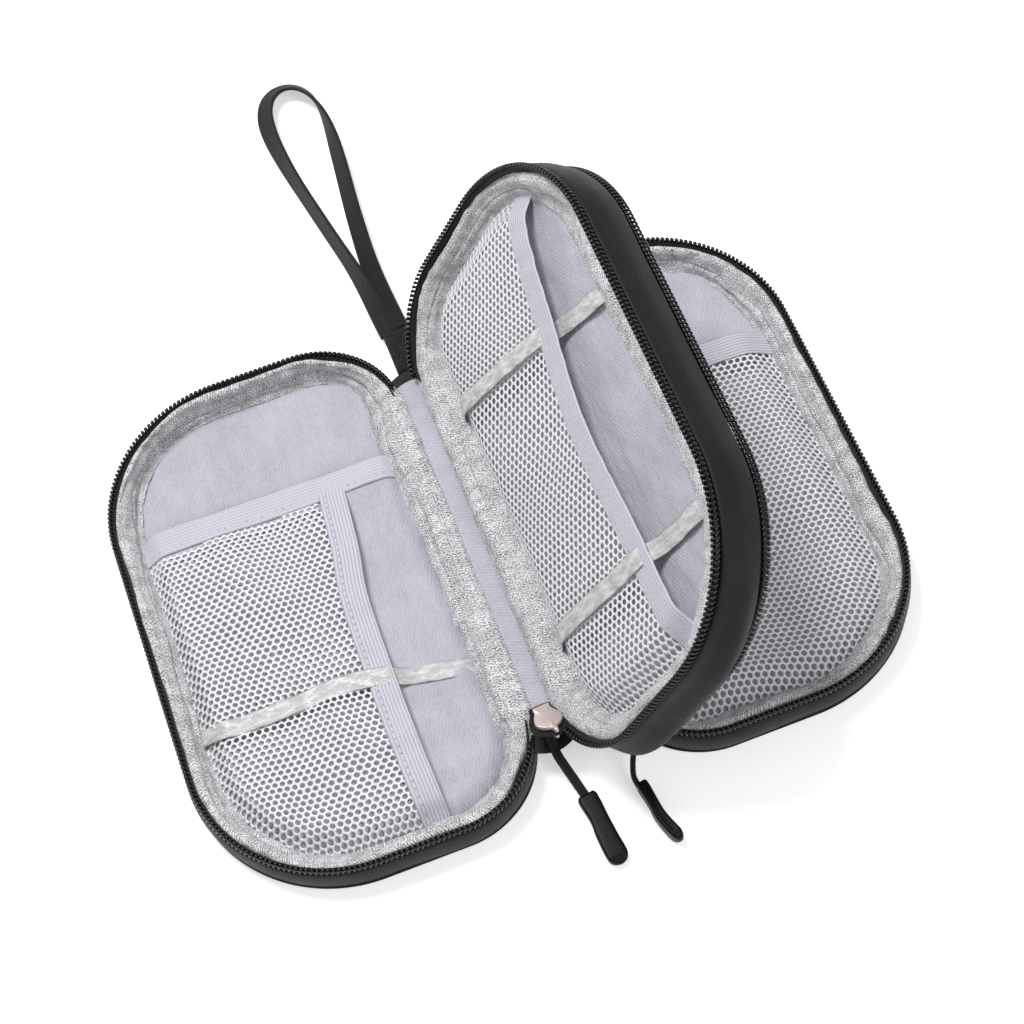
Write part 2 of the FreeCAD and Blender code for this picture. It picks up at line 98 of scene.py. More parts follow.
# body, origin of (u, v, n), direction of u, direction of n
FRONT = ("front_cover", SPINE_EDGE, np.array([-1.0, 0, 0]), Z_AXIS)
REAR = ("rear_cover", np.array([FOLD_4[0], 0, 0]), np.array([1.0, 0, 0]), Z_AXIS)
MIDDLE = ("middle_leaf", FOLD_2 - LEAF_NORMAL * (LEAF_WALL / 2), LEAF_ALONG, LEAF_NORMAL)


# ------------------------------------------------------------------ camera

CAMERA_TARGET = Vector((0.0764, 0.0133, 0.0))
CAMERA_DISTANCE = 0.7357
CAMERA_AZIMUTH = math.radians(-11.22)
CAMERA_ELEVATION = math.radians(60.49)
CAMERA_ROLL = math.radians(-10.25)
CAMERA_LENS = 75.65
SENSOR = 36.0


def add_camera():
    data = bpy.data.cameras.new("camera")
    data.lens = CAMERA_LENS
    data.sensor_width = SENSOR
    level = math.cos(CAMERA_ELEVATION)
    back = Vector((math.sin(CAMERA_AZIMUTH) * level, -math.cos(CAMERA_AZIMUTH) * level,
                   math.sin(CAMERA_ELEVATION)))
    right = (-back).cross(Vector(Z_AXIS)).normalized()
    up = right.cross(-back)
    side = right * math.cos(CAMERA_ROLL) + up * math.sin(CAMERA_ROLL)
    top = up * math.cos(CAMERA_ROLL) - right * math.sin(CAMERA_ROLL)
    camera = bpy.data.objects.new("camera", data)
    bpy.context.scene.collection.objects.link(camera)
    camera.matrix_world = Matrix.Translation(CAMERA_TARGET + back * CAMERA_DISTANCE) @ Matrix(
        (side, top, back)).transposed().to_4x4()
    bpy.context.scene.camera = camera


add_camera()


# ------------------------------------------------------------------ materials

class Maker:
    """Builds one Principled material. s and t are the weave map's coordinates, in millimetres."""

    def __init__(self, name, roughness=0.7, metallic=0.0, sheen=0.0, specular=0.5):
        self.material = bpy.data.materials.new(name)
        self.material.use_nodes = True
        self.tree = self.material.node_tree
        self.shader = self.tree.nodes["Principled BSDF"]
        for socket, value in (("Metallic", metallic), ("Specular IOR Level", specular),
                              ("Sheen Weight", sheen), ("Sheen Roughness", 0.5), ("Roughness", roughness)):
            self.put(socket, value)
        self.map = self.tree.nodes.new("ShaderNodeUVMap")
        self.map.uv_map = "weave"
        split = self.tree.nodes.new("ShaderNodeSeparateXYZ")
        self.link(split.inputs[0], self.map.outputs[0])
        self.s, self.t = split.outputs[:2]

    def link(self, socket, value):
        if isinstance(value, bpy.types.NodeSocket):
            self.tree.links.new(value, socket)
        else:
            socket.default_value = value

    def put(self, name, value):
        self.link(self.shader.inputs[name], value)

    def math(self, operation, first, second=0.0, third=0.0):
        node = self.tree.nodes.new("ShaderNodeMath")
        node.operation = operation
        for socket, value in zip(node.inputs, (first, second, third)):
            self.link(socket, value)
        return node.outputs[0]

    def total(self, *terms, start=0.0):
        """Sum of (value, weight) pairs."""
        for value, weight in terms:
            start = self.math("MULTIPLY_ADD", value, weight, start)
        return start

    def sine(self, value, pitch):
        return self.math("SINE", self.math("MULTIPLY", value, TURN / pitch))

    def wave(self, value, pitch):
        """A sine of the given pitch, from 0 to 1."""
        return self.total((self.sine(value, pitch), 0.5), start=0.5)

    def noise(self, size, detail=3.0, roughness=0.55):
        """Noise whose grains are about size = (along, across) millimetres."""
        mapping = self.tree.nodes.new("ShaderNodeMapping")
        mapping.inputs["Scale"].default_value = (1 / size[0], 1 / size[1], 1)
        self.link(mapping.inputs["Vector"], self.map.outputs[0])
        node = self.tree.nodes.new("ShaderNodeTexNoise")
        for socket, value in (("Scale", 1.0), ("Detail", detail), ("Roughness", roughness),
                              ("Vector", mapping.outputs[0])):
            self.link(node.inputs[socket], value)
        return node.outputs["Fac"]

    def spread(self, value, low, high):
        """Value from low..high mapped to 0..1."""
        node = self.tree.nodes.new("ShaderNodeMapRange")
        node.interpolation_type = "SMOOTHSTEP"
        for socket, setting in (("Value", value), ("From Min", low), ("From Max", high)):
            self.link(node.inputs[socket], setting)
        return node.outputs[0]

    def colour(self, factor, low, high):
        node = self.tree.nodes.new("ShaderNodeMix")
        node.data_type = "RGBA"
        for place, value in ((0, factor), (6, low), (7, high)):
            self.link(node.inputs[place], value)
        self.put("Base Color", node.outputs[2])

    def bump(self, height, depth):
        """Relief of the given depth in millimetres."""
        node = self.tree.nodes.new("ShaderNodeBump")
        node.inputs["Strength"].default_value = 1.0
        node.inputs["Distance"].default_value = depth * MM
        self.link(node.inputs["Height"], height)
        self.put("Normal", node.outputs[0])


def grey(value, tint=(1.0, 1.0, 1.0)):
    return (value * tint[0], value * tint[1], value * tint[2], 1.0)


LAVENDER = (0.955, 0.945, 1.075)


def nylon():
    make = Maker("black_nylon", sheen=0.03, specular=0.25)
    twill = make.wave(make.total((make.t, 0.8), (make.s, 1.0)), 0.85)
    cross = make.wave(make.math("SUBTRACT", make.s, make.t), 1.7)
    weave = make.total((twill, 0.45), (cross, 0.3), (make.noise((0.5, 1.6), 2.0), 0.35))
    patches = make.spread(make.noise((16.0, 16.0)), 0.3, 0.7)
    make.colour(make.total((weave, 0.7), (patches, 0.3)), grey(0.0015), grey(0.011, (1.0, 1.0, 1.06)))
    make.put("Roughness", make.total((patches, 0.14), start=0.5))
    make.bump(weave, 0.14)
    return make.material


def heather():
    """Knitted lining: columns of V-shaped stitches in light yarn with darker flecks."""
    make = Maker("heather_knit", roughness=0.8, sheen=0.15, specular=0.25)
    column = make.math("PINGPONG", make.total((make.noise((3.0, 3.0), 1.0), 0.6), start=make.t), 0.84)
    slanted = make.total((column, 1.2), (make.s, 1.0), (make.noise((4.5, 4.5), 2.0), 2.6))
    stitch = make.spread(make.wave(slanted, 0.98), 0.1, 0.7)
    row = make.spread(make.math("ABSOLUTE", make.math("SUBTRACT", column, 0.42)), 0.45, 0.22)
    relief = make.math("MULTIPLY", stitch, make.total((row, 0.5), start=0.5))
    fleck = make.spread(make.noise((0.75, 0.6), 1.0), 0.4, 0.54)
    mottle = make.spread(make.noise((4.0, 7.0), 3.0), 0.3, 0.7)
    tone = make.total((fleck, 0.34), (relief, 0.4), (mottle, 0.26))
    make.colour(tone, grey(0.13, (1, 0.99, 1.06)), grey(0.98, (1, 0.99, 1.01)))
    make.bump(make.total((fleck, 0.3), (relief, 1.0)), 0.34)
    return make.material


def lining():
    """Lining cloth of short floats in staggered rows, with soft creases, whose shade is also painted into its
    colour.
    """
    make = Maker("lavender_lining", roughness=0.6, sheen=0.2, specular=0.3)
    across = make.total((make.noise((7.0, 7.0), 2.0), 1.6), start=make.s)
    floats = make.math("MULTIPLY", make.sine(across, 1.15), make.sine(make.t, 2.3))
    dashes = make.total((floats, 0.5), start=0.5)
    slubs = make.noise((0.45, 2.0), 2.0)
    creases = make.noise((5.0, 14.0), 3.0, 0.6)
    patches = make.spread(make.noise((26.0, 26.0)), 0.3, 0.7)
    # the creases darken and lighten the colour as well as the bump: painted shade along the creases
    shade = make.total((slubs, 0.5), (dashes, 0.24), (patches, 0.12), (creases, 0.3))
    make.colour(shade, grey(0.20, LAVENDER), grey(0.58, LAVENDER))
    make.bump(make.total((slubs, 0.7), (dashes, 1.0), (creases, 9.0)), 0.1)
    return make.material


def elastic():
    """Ribbed elastic edging, with its ribs along its length and painted shade in the grooves between them."""
    make = Maker("elastic_trim", sheen=0.2, specular=0.3)
    threads = make.wave(make.s, 0.6)
    ribs = make.spread(make.wave(make.t, 1.16), 0.05, 0.5)
    speckle = make.noise((0.55, 0.45), 2.0)
    # ribs paints narrow dark lines between the ribs of the band's shape: painted shade in the grooves
    shade = make.total((speckle, 0.5), (ribs, 0.45), (threads, 0.12))
    make.colour(shade, grey(0.28, LAVENDER), grey(0.64, LAVENDER))
    make.bump(make.total((threads, 0.3), (speckle, 1.0)), 0.1)
    return make.material


def satin():
    """Thin silver ribbon with crushed, shiny streaks and darker edges; the highlights and shade of its
    streaks and crinkles are painted into its colour.
    """
    make = Maker("satin_ribbon", sheen=0.1, specular=0.6)
    streaks = make.noise((6.0, 0.35), 3.0)
    crush = make.spread(make.noise((5.0, 2.2), 3.0), 0.34, 0.66)
    edge = make.spread(make.math("ABSOLUTE", make.t), 2.6, 3.1)
    # streaks are partly the ribbon's grain and partly painted shade; crush lightens the raised, shinier
    # crinkles: a painted highlight
    shade = make.total((streaks, 0.45), (make.wave(make.s, 0.5), 0.08), (crush, 0.4), (edge, -0.2))
    make.colour(shade, (0.27, 0.26, 0.258, 1), (0.75, 0.738, 0.742, 1))
    make.put("Roughness", make.total((crush, -0.15), start=0.42))
    make.bump(make.total((crush, 1.6), (streaks, 1.0)), 0.16)
    return make.material


def plain(name, low, high, roughness, grain=1.2, depth=0.04, metallic=0.0, specular=0.5):
    """A surface with a fine grain: plastic, metal, rubber, thread, board."""
    make = Maker(name, roughness=roughness, metallic=metallic, specular=specular)
    fine = make.noise((grain, grain), 4.0)
    broad = make.noise((grain * 8, grain * 8), 2.0)
    make.colour(make.total((broad, 0.6), (fine, 0.4)), low, high)
    make.put("Roughness", make.total((fine, 0.2), start=roughness - 0.1))
    make.bump(fine, depth)
    return make.material


def braid(name, low, high, pitch, depth):
    """Crossing yarns of a cord, a tape or a woven strap."""
    make = Maker(name, sheen=0.08, specular=0.25)
    ways = [make.wave(make.math(way, make.s, make.t), pitch) for way in ("ADD", "SUBTRACT")]
    yarns = make.math("MAXIMUM", *ways)
    make.colour(make.total((make.noise((0.6, 0.3), 3.0), 0.5), (yarns, 0.5)), low, high)
    make.bump(yarns, depth)
    return make.material


NYLON = nylon()
HEATHER = heather()
LINING = lining()
ELASTIC = elastic()
SATIN = satin()
NET = plain("net_thread", grey(0.60, (1, 1, 1.03)), grey(0.84, (1, 1, 1.03)), 0.45, grain=0.8)
TAPE = braid("zip_tape_weave", grey(0.002), grey(0.012), 0.95, 0.12)
COIL = plain("zip_coil_nylon", grey(0.002), grey(0.007), 0.25, grain=0.5, depth=0.01, specular=0.4)
METAL = plain("slider_metal", (0.50, 0.42, 0.40, 1), (0.66, 0.575, 0.55, 1), 0.4, grain=0.6, depth=0.015,
              metallic=0.7)
RUBBER = plain("soft_rubber", grey(0.002), grey(0.006), 0.42, grain=0.9, depth=0.02, specular=0.13)
CORD = braid("cord_braid", grey(0.002), grey(0.012), 0.95, 0.16)
WEBBING = braid("strap_weave", grey(0.002), grey(0.015), 1.0, 0.2)
BOARD = plain("foam_board", grey(0.5), grey(0.62), 0.9, grain=0.6, depth=0.08)
THREAD = plain("seam_thread", grey(0.34, LAVENDER), grey(0.46, LAVENDER), 0.6, grain=0.3)
DARK_THREAD = plain("black_thread", grey(0.006), grey(0.018), 0.5, grain=0.3)


# ------------------------------------------------------------------ lines and surfaces

def smooth(value):
    value = np.clip(value, 0, 1)
    return value * value * (3 - 2 * value)


def bell(value, centre, width):
    """A hump of height 1."""
    return np.exp(-((value - centre) / width) ** 2)


def ripples(seed, count, shortest, longest, heading=None, spread=0.35):
    """A smooth random field over the plane, about -1 to 1: sine waves of several lengths in millimetres."""
    random = np.random.RandomState(seed)
    if heading is None:
        angles = random.uniform(0, math.pi, count)
    else:
        angles = math.radians(heading) + random.uniform(-spread, spread, count)
    lengths = random.uniform(shortest, longest, count)
    phases = random.uniform(0, TURN, count)
    weights = lengths / lengths.sum()

    def field(x, y):
        total = 0.0
        for angle, length, phase, weight in zip(angles, lengths, phases, weights):
            way = x * math.cos(angle) + y * math.sin(angle)
            total = total + weight * np.sin(TURN / length * way + phase)
        return total * math.sqrt(count) * 0.8
    return field


def lengths_along(curve):
    steps = np.linalg.norm(np.diff(curve, axis=0), axis=1)
    return np.concatenate([[0], np.cumsum(steps)])


def evenly(curve, count):
    run = lengths_along(curve)
    wanted = np.linspace(0, run[-1], count)
    return np.stack([np.interp(wanted, run, curve[:, axis]) for axis in range(curve.shape[1])], -1)


def through(points, count):
    """Evenly spaced points on a smooth curve through the given ones."""
    points = np.asarray(points, float)
    padded = np.vstack([2 * points[0] - points[1], points, 2 * points[-1] - points[-2]])
    curve = []
    for p0, p1, p2, p3 in zip(padded, padded[1:], padded[2:], padded[3:]):
        t = np.linspace(0, 1, 24, endpoint=False)[:, None]
        curve.append(0.5 * (2 * p1 + (p2 - p0) * t + (2 * p0 - 5 * p1 + 4 * p2 - p3) * t ** 2
                            + (3 * p1 - p0 - 3 * p2 + p3) * t ** 3))
    return evenly(np.vstack(curve + [points[-1:]]), count)


def unit(vectors):
    return vectors / np.maximum(np.linalg.norm(vectors, axis=-1, keepdims=True), 1e-9)


def tangents(curve):
    return unit(np.gradient(curve, axis=0))


def left_of(directions):
    """Directions in a plane, turned a quarter to the left."""
    return np.stack([-directions[..., 1], directions[..., 0]], -1)


def frames_along(curve, up=Z_AXIS):
    """Unit side and up at each point of a curve in space."""
    tangent = tangents(curve)
    side = unit(np.cross(tangent, np.broadcast_to(up, tangent.shape)))
    return side, np.cross(side, tangent)


def flat_section(count, power):
    """Round the section of a flat band: places from -1 to 1 and back, and shares of its half thickness."""
    t = np.concatenate([np.linspace(-1, 1, count), np.linspace(1, -1, count)[1:-1]])
    sign = np.concatenate([np.ones(count), -np.ones(count - 2)])
    return t, sign * np.sqrt(np.clip(1 - np.abs(t) ** power, 0, 1))


# ------------------------------------------------------------------ mesh building

def add_mesh(name, points, faces, corner_uv, material):
    """A mesh from world points in metres, faces and one map point per face corner."""
    mesh = bpy.data.meshes.new(name)
    mesh.from_pydata(np.asarray(points).tolist(), [], faces)
    layer = mesh.uv_layers.new(name="weave")
    layer.data.foreach_set("uv", np.asarray(corner_uv, np.float32).ravel())
    mesh.materials.append(material)
    mesh.shade_smooth()
    piece = bpy.data.objects.new(name, mesh)
    bpy.context.scene.collection.objects.link(piece)
    return piece


def grid_faces(rows, columns, wrap_rows=False, wrap_columns=False):
    """Quads of a grid of points, with each corner's (row, column) before wrapping."""
    first, second = np.meshgrid(np.arange(rows if wrap_rows else rows - 1),
                                np.arange(columns if wrap_columns else columns - 1), indexing="ij")
    corners = [(first, second), (first, second + 1), (first + 1, second + 1), (first + 1, second)]
    row = np.stack([corner[0] for corner in corners], -1).reshape(-1, 4)
    column = np.stack([corner[1] for corner in corners], -1).reshape(-1, 4)
    return (row % rows) * columns + column % columns, row, column


def add_grid(name, points, along, across, material, wrap_rows=False, wrap_columns=False, flip=False,
             tube=False):
    """A surface from a grid of world points. along and across give the weave map of rows and columns. A tube
    wraps its columns and has caps."""
    rows, columns = points.shape[:2]
    faces, row, column = grid_faces(rows, columns, wrap_rows, wrap_columns or tube)
    if flip:
        faces, row, column = faces[:, ::-1], row[:, ::-1], column[:, ::-1]
    along = np.asarray(along)
    if along.ndim == 1:
        corner_uv = np.stack([along[row], np.asarray(across)[column]], -1)
    else:
        corner_uv = np.stack([along[row, column], across[row, column]], -1)
    faces = faces.tolist()
    if tube:
        ring = list(range(columns))
        faces += [ring, [(rows - 1) * columns + k for k in reversed(ring)]]
        corner_uv = np.concatenate([corner_uv.reshape(-1, 2), np.zeros((2 * columns, 2))])
    return add_mesh(name, points.reshape(-1, 3), faces, corner_uv, material)


def to_world(leaf, points):
    """Points (u, v, n) of a leaf as world points in metres."""
    origin, along, normal = leaf[1:]
    placed = origin + points[..., 0:1] * along + points[..., 1:2] * Y_AXIS + points[..., 2:3] * normal
    return placed * MM


def mirrored(leaf):
    return leaf is FRONT


def thicken(piece, thickness, offset=-1.0):
    """Gives a sheet its thickness in millimetres."""
    modifier = piece.modifiers.new("thickness", "SOLIDIFY")
    modifier.thickness = thickness * MM
    modifier.offset = offset
    return piece


def join(name, pieces):
    """One piece from several that share a material."""
    with bpy.context.temp_override(active_object=pieces[0], object=pieces[0], selected_objects=pieces,
                                   selected_editable_objects=pieces):
        bpy.ops.object.join()
    pieces[0].name = name
    return pieces[0]


def ride(piece, body, *nodes):
    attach(piece, body)
    if nodes:
        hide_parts(*nodes)
    return piece


def cut_cloth(piece, width):
    """Returns the sheet as it is. Its flat area is the surface's own; width is not used."""
    return piece


# ------------------------------------------------------------------ the leaf's outline

# each run: its length, then start point, direction and None, or centre, radius and start angle
QUARTER = math.pi / 2
RUNS = (
    (SPINE_CORNER * QUARTER, (SPINE_CORNER, -CORNER_V), SPINE_CORNER, 180),
    (FAR_U - SPINE_CORNER, (SPINE_CORNER, -LENGTH / 2), (1, 0), None),
    (OUTER_CORNER * QUARTER, (FAR_U, -OUTER_V), OUTER_CORNER, 270),
    (2 * OUTER_V, (WIDTH, -OUTER_V), (0, 1), None),
    (OUTER_CORNER * QUARTER, (FAR_U, OUTER_V), OUTER_CORNER, 0),
    (FAR_U - SPINE_CORNER, (FAR_U, LENGTH / 2), (-1, 0), None),
    (SPINE_CORNER * QUARTER, (SPINE_CORNER, CORNER_V), SPINE_CORNER, 90),
    (2 * CORNER_V, (0, CORNER_V), (0, -1), None),
)
RIM_LENGTH = sum(run[0] for run in RUNS)
ZIP_LENGTH = RIM_LENGTH - 2 * CORNER_V      # all but the straight spine edge


def rim_at(s):
    """Outline points (u, v) and outward normals at distances s round the rim, from the -Y spine corner."""
    s = np.mod(np.asarray(s, float), RIM_LENGTH)
    points = np.zeros((len(s), 2))
    normals = np.zeros((len(s), 2))
    start = 0.0
    for length, place, heading, angle in RUNS:
        inside = (s >= start) & (s <= start + length)
        run = s[inside] - start
        if angle is None:
            points[inside] = np.array(place) + run[:, None] * np.array(heading, float)
            normals[inside] = [heading[1], -heading[0]]
        else:
            turn = np.radians(angle) + run / heading
            normals[inside] = np.stack([np.cos(turn), np.sin(turn)], -1)
            points[inside] = np.array(place) + heading * normals[inside]
        start += length
    return points, normals


def corner_reach(v, straight, radius):
    """How far a round corner still reaches at v, past a straight stretch."""
    past = np.maximum(np.abs(v) - straight, 0)
    return np.sqrt(np.maximum(radius ** 2 - past ** 2, 0))


def depth(u, v):
    """Distance of a point inside the outline from the rim."""
    spine = np.hypot(u - SPINE_CORNER, np.abs(v) - CORNER_V)
    outer = np.hypot(u - FAR_U, np.abs(v) - OUTER_V)
    straight = np.minimum(np.minimum(u, WIDTH - u), LENGTH / 2 - np.abs(v))
    near_spine = (u < SPINE_CORNER) & (np.abs(v) > CORNER_V)
    near_outer = (u > FAR_U) & (np.abs(v) > OUTER_V)
    return np.where(near_spine, SPINE_CORNER - spine, np.where(near_outer, OUTER_CORNER - outer, straight))


def spine_share(s):
    """1 beside the spine, 0 along the zipper."""
    s = np.mod(s, RIM_LENGTH)
    fade = 24.0
    return np.maximum(np.where(s > ZIP_LENGTH - fade, smooth((s - ZIP_LENGTH + fade) / fade), 0),
                      1 - smooth(s / fade))


def round_loop(step):
    return np.arange(0, RIM_LENGTH - step / 2, RIM_LENGTH / round(RIM_LENGTH / step))


def sweep_rim(name, leaf, s, profile, material, closed=True, closed_profile=False, relief=None, flip=False):
    """A band round the rim. profile holds (inset, n) for each s; relief(s, t) lifts it along its normal."""
    profile = np.broadcast_to(profile, (len(s),) + np.shape(profile)[-2:]).copy()
    across = lengths_along(profile.mean(0))
    if relief is not None:
        lift = relief(s[:, None], across[None, :])
        profile += left_of(unit(np.gradient(profile, axis=1))) * lift[..., None]
    points, normals = rim_at(s)
    flat = points[:, None, :] - normals[:, None, :] * profile[..., 0:1]
    world = to_world(leaf, np.concatenate([flat, profile[..., 1:2]], -1))
    if closed:
        s = np.append(s, RIM_LENGTH + s[0])
    if closed_profile:
        across = np.append(across, across[-1] + np.linalg.norm(profile[0, 0] - profile[0, -1]))
    return add_grid(name, world, s, across, material, closed, closed_profile, flip != mirrored(leaf))


def polar_cloth(name, leaf, inset, height, material, face_up=True, rings=44, step=2.2):
    """A cloth over the whole leaf inside an inset, with a height for each (u, v)."""
    s = round_loop(step)
    points, normals = rim_at(s)
    edge = points - normals * inset
    centre = np.array([WIDTH / 2, 0.0])
    share = np.linspace(0.0004, 1, rings)[None, :, None]
    flat = centre + (edge[:, None, :] - centre) * share
    u, v = flat[..., 0], flat[..., 1]
    world = to_world(leaf, np.stack([u, v, height(u, v)], -1))
    rows = np.concatenate([np.arange(len(s)), [0]])
    piece = add_grid(name, world, u[rows], v[rows], material, True, False, face_up == mirrored(leaf))
    return cut_cloth(piece, WIDTH - 2 * inset)


# ------------------------------------------------------------------ pieces of every leaf

def cover_shell(side, leaf):
    """Back panel and gusset in black nylon, with a rolled edge between them."""
    section = through(((2.6, 0.35), (1.3, 0.55), (0.45, 1.2), (0.05, 2.3), (-0.35, 4.2), (-0.5, 6.2),
                       (-0.35, 8.4), (0.0, 10.0), (0.45, 11.0), (1.2, 11.4), (2.0, 10.6), (2.4, 9.4)), 30)
    soft = ripples(11, 9, 18, 60)
    gusset = sweep_rim(side + "_gusset_band", leaf, round_loop(1.6), section, NYLON,
                       relief=lambda s, t: 0.16 * soft(s, t), flip=True)
    ride(gusset, leaf[0], side + "_gusset")
    cut_cloth(gusset, lengths_along(section)[-1])
    puff = ripples(12, 8, 30, 90)

    def back(u, v):
        edge = np.clip(depth(u, v), 0, 14) / 14
        return 0.42 - 0.36 * smooth(edge) + 0.05 * puff(u, v) * edge

    cloth = polar_cloth(side + "_back_cloth", leaf, 1.5, back, NYLON, face_up=False)
    ride(cloth, leaf[0], side + "_back_panel")
    cord = [(0.55 + 0.75 * math.cos(a), 0.95 + 0.75 * math.sin(a)) for a in np.arange(0, TURN, TURN / 10)]
    ride(sweep_rim(side + "_piping", leaf, round_loop(1.6), cord, NYLON, closed_profile=True), leaf[0])


def coil_run(name, leaf, level, first, pitch=1.72):
    """A spiral of nylon round the rim, one turn for each tooth. Its heads are flattened until they nearly
    meet, and a cord fills its foot."""
    start = SPINE_CORNER * math.radians(first)
    stop = ZIP_LENGTH - SPINE_CORNER * math.radians(COIL_START)
    per_turn, sides = 12, 6
    turns = int((stop - start) / pitch)
    angle = np.linspace(0, TURN * turns, turns * per_turn + 1)
    across, high, wire = 0.68, 1.34, 0.44
    out = np.sign(level)
    flip = (level > 0) == mirrored(leaf)

    def spot(s, inset, n):
        points, normals = rim_at(s)
        flat = points - normals * np.reshape(inset, (-1, 1))
        return to_world(leaf, np.column_stack([flat, np.broadcast_to(n, len(flat))]))

    head = np.clip(np.sin(angle), 0, 1) ** 3
    widths = wire * (1 + 0.72 * head)
    rings = []
    for turn in np.arange(sides) * TURN / sides:
        s = start + angle / TURN * pitch + widths * math.cos(turn)
        grow = wire * math.sin(turn) * (1 - 0.2 * head)
        inset = COIL_INSET + (across + grow) * np.cos(angle)
        rings.append(spot(s, inset, level + out * (high + grow) * np.sin(angle)))
    coil = add_grid(name + "_spiral", np.stack(rings, 1), angle / TURN * 6.0, np.arange(sides + 1) * 0.5,
                    COIL, flip=flip, tube=True)
    s = np.linspace(start + 0.6, stop - 0.6, 230)
    foot = level - out * 0.55
    rows = [spot(s, COIL_INSET + 0.42 * math.cos(a), foot + 0.72 * math.sin(a))
            for a in np.arange(8) * TURN / 8]
    core = add_grid(name + "_core", np.stack(rows, 1), s, np.arange(9) * 0.7, COIL, flip=flip, tube=True)
    return join(name, [coil, core])


# a tape's closed section: distance in from the rim and height over it
TAPE_SECTION = ((3.5, -5.0), (3.1, -2.4), (2.75, -0.4), (2.55, 0.8), (2.4, 1.7), (2.2, 2.35), (1.9, 2.55),
                (1.7, 2.2), (1.7, 1.5), (1.75, 0.8), (1.55, 0.2), (0.9, -0.1), (0.75, -1.2), (1.4, -3.0),
                (2.4, -5.2))


def zipper(prefix, leaf, rim_height, sign, first):
    """Tape and coil beside the rim. sign is the side of the leaf that they stand on."""
    s = np.linspace(-1.5, ZIP_LENGTH + 1.5, 300)
    raised = smooth((s + 1.0) / 6.5) * smooth((ZIP_LENGTH + 1.0 - s) / 6.5)
    tape = np.repeat(np.array(TAPE_SECTION)[None], len(s), 0)
    tape[..., 1] = np.where(tape[..., 1] > 0, tape[..., 1] * raised[:, None], tape[..., 1])
    tape[..., 1] = (tape[..., 1] + rim_height) * sign
    band = sweep_rim(prefix + "_zip_tape_band", leaf, s, tape, TAPE, closed=False, closed_profile=True,
                     flip=sign > 0)
    ride(band, leaf[0], prefix + "_zip_tape")
    teeth = coil_run(prefix + "_zip_teeth", leaf, sign * (rim_height + ZIP_HALF), first)
    ride(teeth, leaf[0], prefix + "_zip_coil")


# the padded wall's sections: beside the zip, at the leaf's far end and beside the spine
ZIP_WALL = ((2.6, -1.6), (2.7, -0.3), (3.0, 0.5), (3.7, 0.7), (4.6, 0.2), (5.7, -0.9), (6.7, -2.2),
            (7.6, -3.8), (8.5, -5.4), (9.4, -6.7), (10.3, -7.6))
STEEP_WALL = ((2.75, 0.6), (2.85, 1.3), (3.1, 1.5), (3.45, 0.9), (3.8, -0.5), (4.1, -2.2), (4.4, -3.8),
              (4.8, -5.2), (5.4, -6.3), (6.2, -7.1), (7.1, -7.6))
SPINE_WALL = ((-0.5, -1.0), (-0.35, 0.1), (0.7, 1.1), (2.6, 1.6), (4.8, 1.3), (6.8, 0.2), (8.4, -1.6),
              (9.8, -3.6), (10.9, -5.4), (11.8, -6.9), (12.6, -7.8))
WALL_POINTS = 34


def wall_profile(s, rim_height, floor, sign, steep, wide, waver):
    """The padded lining's section at each s: a roll over the rim that runs down to the floor."""
    beside_zip, at_end, beside_spine = (through(wall, WALL_POINTS)
                                        for wall in (ZIP_WALL, STEEP_WALL, SPINE_WALL))
    _, normals = rim_at(s)
    top = (smooth((normals[:, 1] - 0.1) / 0.8) * steep)[:, None, None]
    section = beside_zip * (1 - top) + at_end * top
    outer = smooth((normals[:, 0] + 0.1) / 0.8) * (1 - top[:, 0, 0]) * wide
    section[..., 0] += outer[:, None] * np.maximum(section[..., 0] - 3.0, 0)
    section[..., 0] += 1.5 * bell(s, 12.0, 13.0)[:, None]
    share = spine_share(s)[:, None, None]
    section = section * (1 - share) + beside_spine * share
    lowest = section[:, -1:, 1:2]
    drop = rim_height - floor + 0.3
    section[..., 1:2] = np.where(section[..., 1:2] < 0, section[..., 1:2] * drop / -lowest, section[..., 1:2])
    crest = np.linspace(1, 0, WALL_POINTS)[None, :] * (1 - spine_share(s))[:, None]
    section[..., 0] += np.maximum(waver(s, 0), -0.6)[:, None] * 0.8 * crest
    section[..., 1] += waver(s + 60, 0)[:, None] * 0.5 * crest + rim_height
    section[..., 1] *= sign
    return section


def wall_lining(prefix, leaf, rim_height, floor, sign, seed, steep, wide=0.0):
    """Heathered knit over thin padding, with the long creases of a lining that is a little too long."""
    broad = ripples(seed, 8, 22, 70)
    creases = ripples(seed + 1, 12, 3.5, 9, heading=90, spread=0.22)
    pinches = ripples(seed + 2, 10, 6, 16)
    folds = ripples(seed + 3, 9, 9, 24, heading=25, spread=0.4)

    def relief(along, across):
        body = smooth(across / 2.5) * smooth((16.5 - across) / 4.0)
        groove = bell(across, 8.4 + 0.8 * broad(along, 0), 0.7)
        lift = 0.5 * broad(along, across) + 0.36 * creases(along * 0.5, across) + 0.3 * pinches(along, across)
        return (lift - 0.5 * np.abs(folds(along, across)) - 0.5 * groove) * body

    s = round_loop(1.0)
    profile = wall_profile(s, rim_height, floor, sign, steep, wide, ripples(seed + 4, 7, 18, 46))
    wall = sweep_rim(prefix + "_padded_wall", leaf, s, profile, HEATHER, relief=relief, flip=sign < 0)
    ride(thicken(wall, 0.8), leaf[0], prefix + "_wall_lining")


NET_OPEN = 0.75             # a hole's share of its cell, across
HOLE_POINTS = 12


def hole_outline(pitch, row):
    """One hole of the net: its six corners cut off, so that it is nearly round. Two points a corner."""
    high = row / 2 + pitch ** 2 / (8 * row)
    low = row - high
    half = pitch / 2
    corners = ((half, low), (0, high), (-half, low), (-half, -low), (0, -high), (half, -low))
    corners = np.array(corners) * NET_OPEN
    outline = []
    for k, corner in enumerate(corners):
        for neighbour in (corners[k - 1], corners[(k + 1) % 6]):
            outline.append(corner * 0.97 + (neighbour - corner) * 0.30)
    return np.array(outline)


